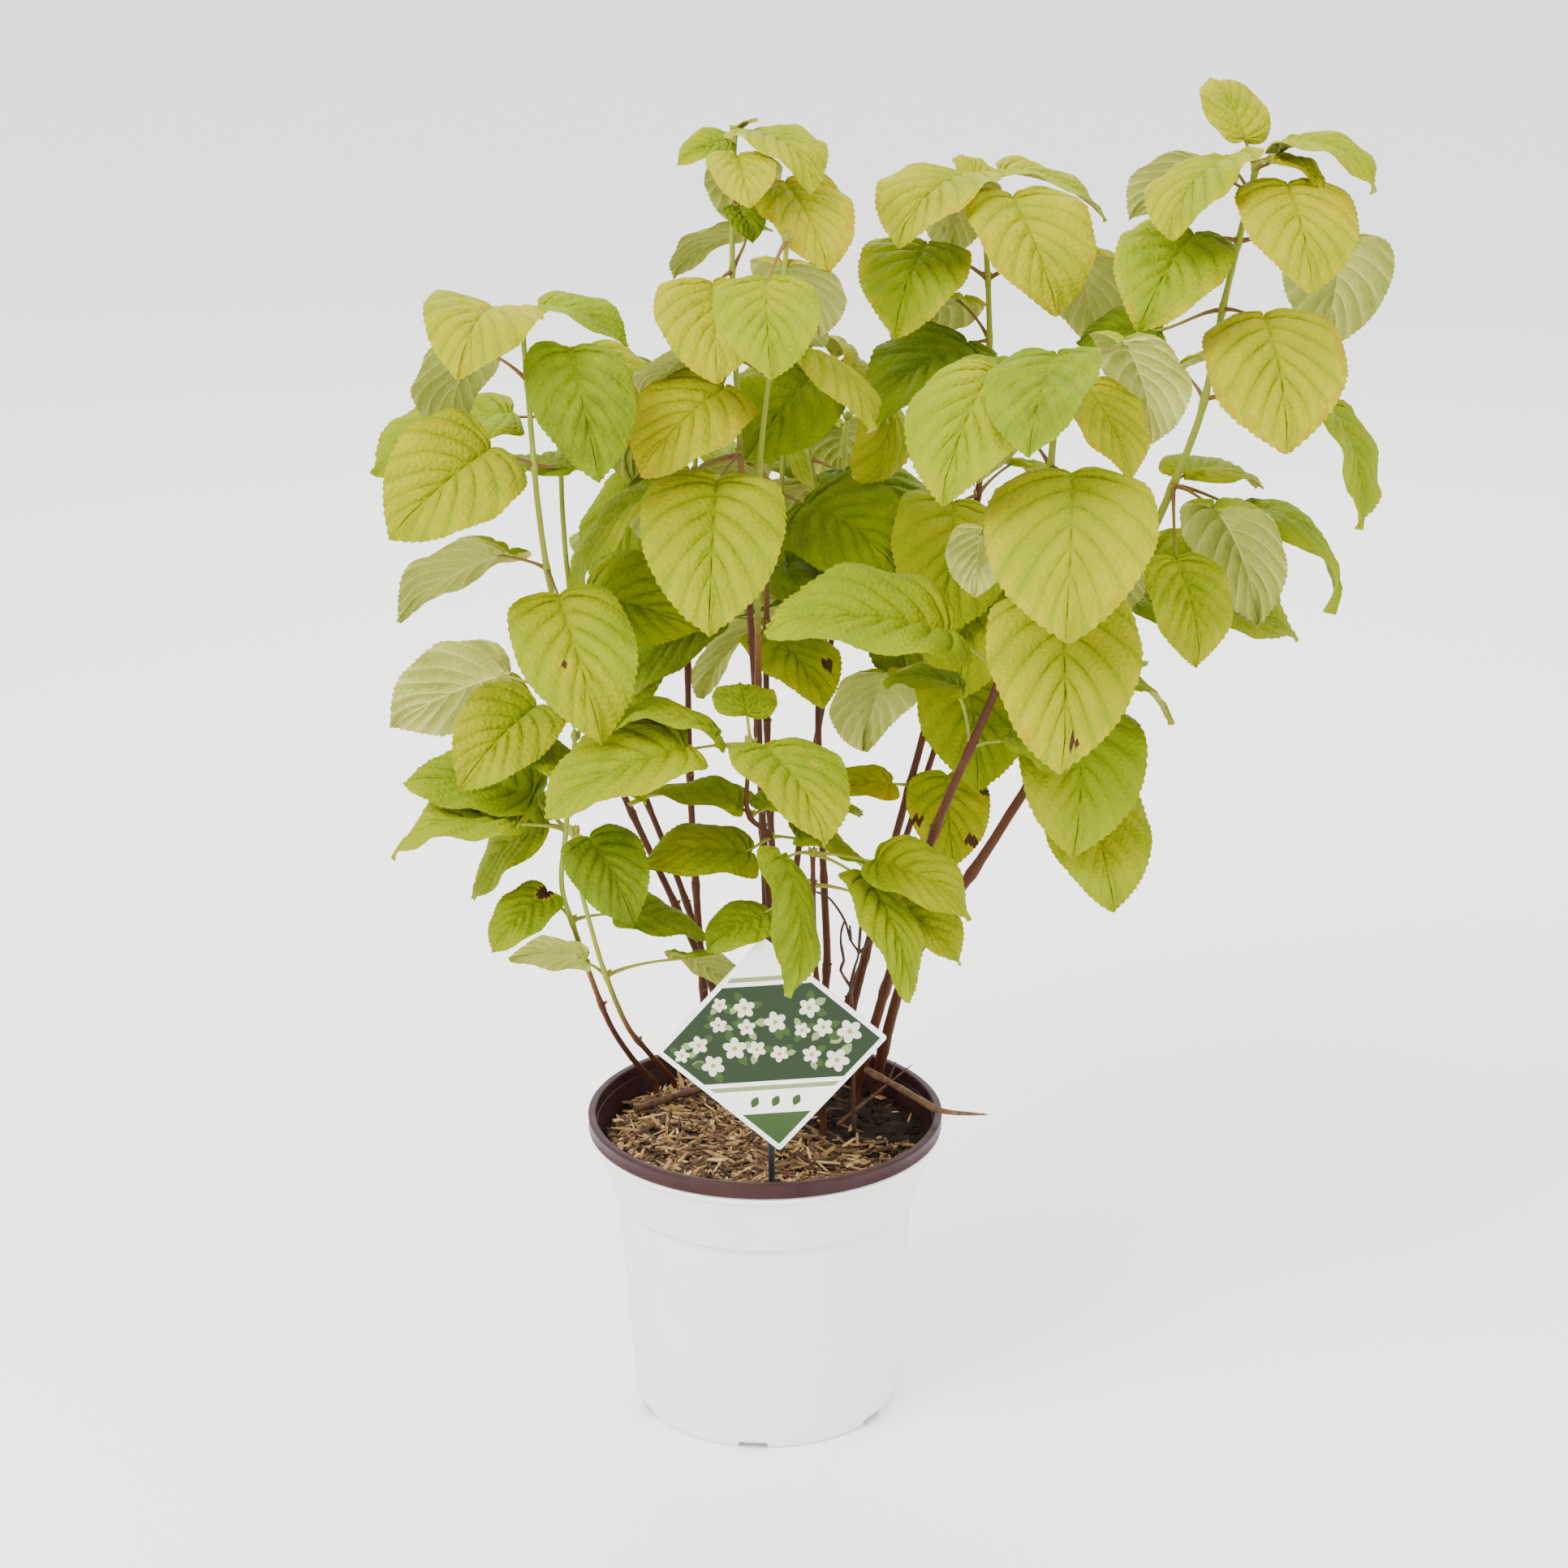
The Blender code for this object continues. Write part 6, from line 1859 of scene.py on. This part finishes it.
def strew(name, bed, mat, shapes, values):
    """Piece made of shapes strewn over the bed."""
    guide = in_scene(name, bed.data.copy())
    piece = run_tree(scatter_grower(name, [mat]), guide, {"Shapes": shapes, **values})
    return hand_over(piece, "mulch", "soil")


def make_mulch(bed):
    rng = random.Random("mulch")
    splinters = [splinter("splinter_%d" % i, size, rng) for i, size in enumerate(CHIP_SIZES)]
    chips = shapes_of("splinters", splinters)
    for name, tint, density, seed, scale in CHIP_KINDS:
        strew(name, bed, chip_finish(name, tint), chips,
              {"Density": density, "Seed": seed, "Scale": scale, **STREWN})
    crumbs = shapes_of("crumbs", [lump("crumb_%d" % i, rng) for i in range(LUMP_KINDS)])
    even = bed.data.attributes["cover"].data
    values = [0.0] * len(even)
    even.foreach_get("value", values)
    bare, fewer = LUMP_COVER
    even.foreach_set("value", [0.0 if v == 0.0 else bare - v * fewer for v in values])
    strew("crumbs_dark", bed, lump_finish(), crumbs, CRUMBS)
    for group in (chips, crumbs):
        for obj in list(group.objects):
            bpy.data.objects.remove(obj)
        bpy.data.collections.remove(group)
    bpy.data.objects.remove(bed)


# Tag


def card_frame():
    """Centre of the card's front face, and its right and up axes with the card's own lean."""
    lean = math.radians(-TAG_TURN)
    x, y, z = TAG_CENTRE
    right = Vector((math.cos(lean), 0, -math.sin(lean)))
    up = Vector((math.sin(lean), 0, math.cos(lean)))
    return Vector((x, y, z)), right, up


def flat_plate(name, shapes, mats):
    """Thin prisms on the front of the card. A shape is (outline, near, far, material index)."""
    centre, right, up = card_frame()
    verts, faces, picks = [], [], []
    for outline, near, far, pick in shapes:
        base, count = len(verts), len(outline)
        for depth in (near, far):
            verts += [centre + right * p + up * q + Vector((0, depth, 0)) for p, q in outline]
        faces.append(tuple(base + k for k in range(count)))
        faces.append(tuple(base + count + k for k in reversed(range(count))))
        faces += ring_quads(base, base + count, count)
        picks += [pick] * (count + 2)
    obj = plain_mesh(name, verts, faces, mats, picks)
    turn_outwards(obj.data)
    return obj


def diamond_band(half, low, high):
    """Part of a square that stands on a corner, between two level lines."""
    points = []
    for q in (low, high):
        reach = half - abs(q)
        points += [(reach, q), (-reach, q)] if q == low else [(-reach, q), (reach, q)]
    if low < 0 < high:
        points = points[:2][::-1] + [(half, 0)] + points[2:][::-1] + [(-half, 0)]
    return [p for k, p in enumerate(points) if k == 0 or (Vector(p) - Vector(points[k - 1])).length > 1e-6]


def disc(centre, wide, tall, turn=0.0, sides=18):
    return [turned(centre, wide * c, tall * s, turn) for c, s in circle(sides)]


def leaf_print(centre, size, turn):
    """Pointed oval."""
    points = []
    for k in range(14):
        t = k / 7
        along = t if t <= 1 else 2 - t
        half = 0.30 * math.sin(math.pi * along) * (1 if t <= 1 else -1)
        points.append(turned(centre, (along - 0.5) * size, half * size, turn))
    return points


def make_tag():
    """Square card on its corner with a plain printed pattern of small flowers between two bands."""
    half = TAG_SIDE / math.sqrt(2)
    inset = half - CARD_EDGE
    paper, deep, mid, pale, white, heart = range(6)
    inks = {"deep": deep, "mid": mid, "pale": pale}
    mats = [card_finish("card_white", (240, 241, 238)), card_finish("ink_deep_green", (38, 52, 32), 0.14),
            card_finish("ink_green", (52, 74, 36), 0.14), card_finish("ink_pale_green", (118, 138, 84)),
            card_finish("ink_blossom", (205, 208, 184)), card_finish("ink_yellow", (150, 135, 56))]
    card = []
    for k in range(4):
        corner = math.radians(90 * k)
        for j in range(5):
            turn = corner + math.radians(-45 + 90 * j / 4)
            reach = half - CARD_CORNER * math.sqrt(2)
            card.append((reach * math.cos(corner) + CARD_CORNER * math.cos(turn),
                         reach * math.sin(corner) + CARD_CORNER * math.sin(turn)))
    ink = -CARD_THICK / 2 - INK_THICK
    layers = [(card, -CARD_THICK / 2, CARD_THICK / 2, paper)]

    def print_shape(outline, layer, pick):
        layers.append((outline, ink - INK_STEP * layer, ink + INK_THICK + 0.02, pick))

    for low, high, shade in PRINT_BANDS:
        print_shape(diamond_band(inset, 0.5 - inset if low is None else low, high), 0, inks[shade])
    rng = random.Random("print")
    blossoms = []
    while len(blossoms) < BLOSSOM_COUNT:
        p, q = rng.uniform(*BLOSSOM_FIELD[0]), rng.uniform(*BLOSSOM_FIELD[1])
        size = rng.uniform(*BLOSSOM_SIZES)
        clear = all(math.hypot(p - a, q - b) > BLOSSOM_ROOM * (size + c) for a, b, c in blossoms)
        if abs(p) + abs(q) < inset - 2.4 * size and clear:
            blossoms.append((p, q, size))
    leaf_count = 0
    for p, q, size in blossoms:
        for k in range(3):
            turn = rng.uniform(0, 2 * math.pi)
            spot = (p + math.cos(turn) * size * 2.0, q + math.sin(turn) * size * 2.0)
            if abs(spot[0]) + abs(spot[1]) < inset - 6 and -20 < spot[1] < 36:
                leaf_count += 1
                ink_pick = pale if k == 0 else mid
                print_shape(leaf_print(spot, size * 2.2, turn), 1 + 0.08 * leaf_count, ink_pick)
    for p, q, size in blossoms:
        turn = rng.uniform(0, 1.2)
        for k in range(5):
            angle = turn + 2 * math.pi * k / 5
            spot = (p + math.cos(angle) * size * 0.95, q + math.sin(angle) * size * 0.95)
            print_shape(disc(spot, size * 0.78, size * 0.60, angle, 12), 6 + 0.2 * k, white)
        print_shape(disc((p, q), size * 0.36, size * 0.36, 0.0, 10), 8, heart)
    for k in range(3):
        print_shape(leaf_print(((k - 1) * 13.0, -38.0), 8.5, math.radians(60)), 0, mid)
    tag = flat_plate("tag_card", layers, mats)
    hand_over(tag, "tag_card", "tag")


def make_stick():
    """Dark stick with a rib down each edge, behind the card."""
    x, y, z = TAG_CENTRE
    back = y + TAG_THICK / 2 + GAP
    far = back + STICK_THICK
    middle = back + STICK_THICK / 2
    half = STICK_WIDTH / 2
    rib, web = (half - width for width in STICK_RIB)
    section = [(-half, back), (-rib, back), (-web, middle - STICK_WEB), (web, middle - STICK_WEB),
               (rib, back), (half, back), (half, far), (rib, far), (web, middle + STICK_WEB),
               (-web, middle + STICK_WEB), (-rib, far), (-half, far)]
    verts, faces = [], []
    heights = (SOIL_TOP - 2.0, SOIL_TOP + 20, z - 40, z, z + STICK_REACH - 2, z + STICK_REACH)
    for index, height in enumerate(heights):
        shrink = STICK_TIP if index == len(heights) - 1 else 1.0
        verts += [(x + px * shrink, middle + (py - middle) * shrink, height) for px, py in section]
    count = len(section)
    for k in range(len(heights) - 1):
        a, b = count * k, count * (k + 1)
        faces += [(a + i, a + (i + 1) % count, b + (i + 1) % count, b + i) for i in range(count)]
    faces += [tuple(reversed(range(count))), tuple(count * (len(heights) - 1) + i for i in range(count))]
    stick = plain_mesh("tag_stick_ribbed", verts, faces, [stick_finish()])
    turn_outwards(stick.data)
    hand_over(stick, "tag_stick", "tag_stick")


# Studio


def make_studio():
    floor = bpy.data.meshes.new("floor")
    half = FLOOR_HALF
    corners = [(-half, -half, 0), (half, -half, 0), (half, half, 0), (-half, half, 0)]
    floor.from_pydata(corners, [], [(0, 1, 2, 3)])
    floor.materials.append(Finish("floor_paper", (247, 247, 246), 0.9, 0.1).mat)
    ground = in_scene("floor", floor)
    world = bpy.data.worlds.new("studio")
    world.use_nodes = True
    world.node_tree.nodes["Background"].inputs["Color"].default_value = (1.0, 1.0, 1.0, 1.0)
    world.node_tree.nodes["Background"].inputs["Strength"].default_value = SKY_STRENGTH
    bpy.context.scene.world = world
    for index, (place, size, power, tint) in enumerate(LAMPS):
        lamp = bpy.data.lights.new("lamp_%d" % index, "AREA")
        lamp.size = size
        lamp.energy = power
        lamp.color = linear(tint)[:3]
        holder = in_scene("lamp_%d" % index, lamp)
        holder.location = place
        holder.rotation_euler = (Vector(LAMP_TARGET) - Vector(place)).to_track_quat("-Z", "Y").to_euler()


def make_camera():
    data = bpy.data.cameras.new("camera")
    data.lens = LENS
    data.sensor_width = SENSOR
    camera = in_scene("camera", data)
    camera.location = CAMERA_PLACE
    camera.rotation_euler = (math.radians(90 - CAMERA_PITCH), 0, 0)
    bpy.context.scene.camera = camera


def main():
    make_studio()
    make_camera()
    make_pot()
    make_lining()
    make_mulch(make_soil())
    make_tag()
    make_stick()
    top_mats = [leaf_top_finish(step) for step in range(tint_count(TOP_KEYS))]
    under_mats = [leaf_under_finish(step) for step in range(tint_count(UNDER_KEYS))]
    stem_mats = [stem_finish(step) for step in range(tint_count(STEM_KEYS))]
    make_old_wood([old_wood_finish(name, tint) for name, tint in OLD_WOOD_TINTS])
    tree = limb_grower(stem_mats)
    blade = Blade()
    grown = []
    for name, leaves in place_leaves().items():
        make_cane(name, leaves, tree, stem_mats)
        make_leaves(blade, name, leaves, top_mats + under_mats, grown)
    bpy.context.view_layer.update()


main()
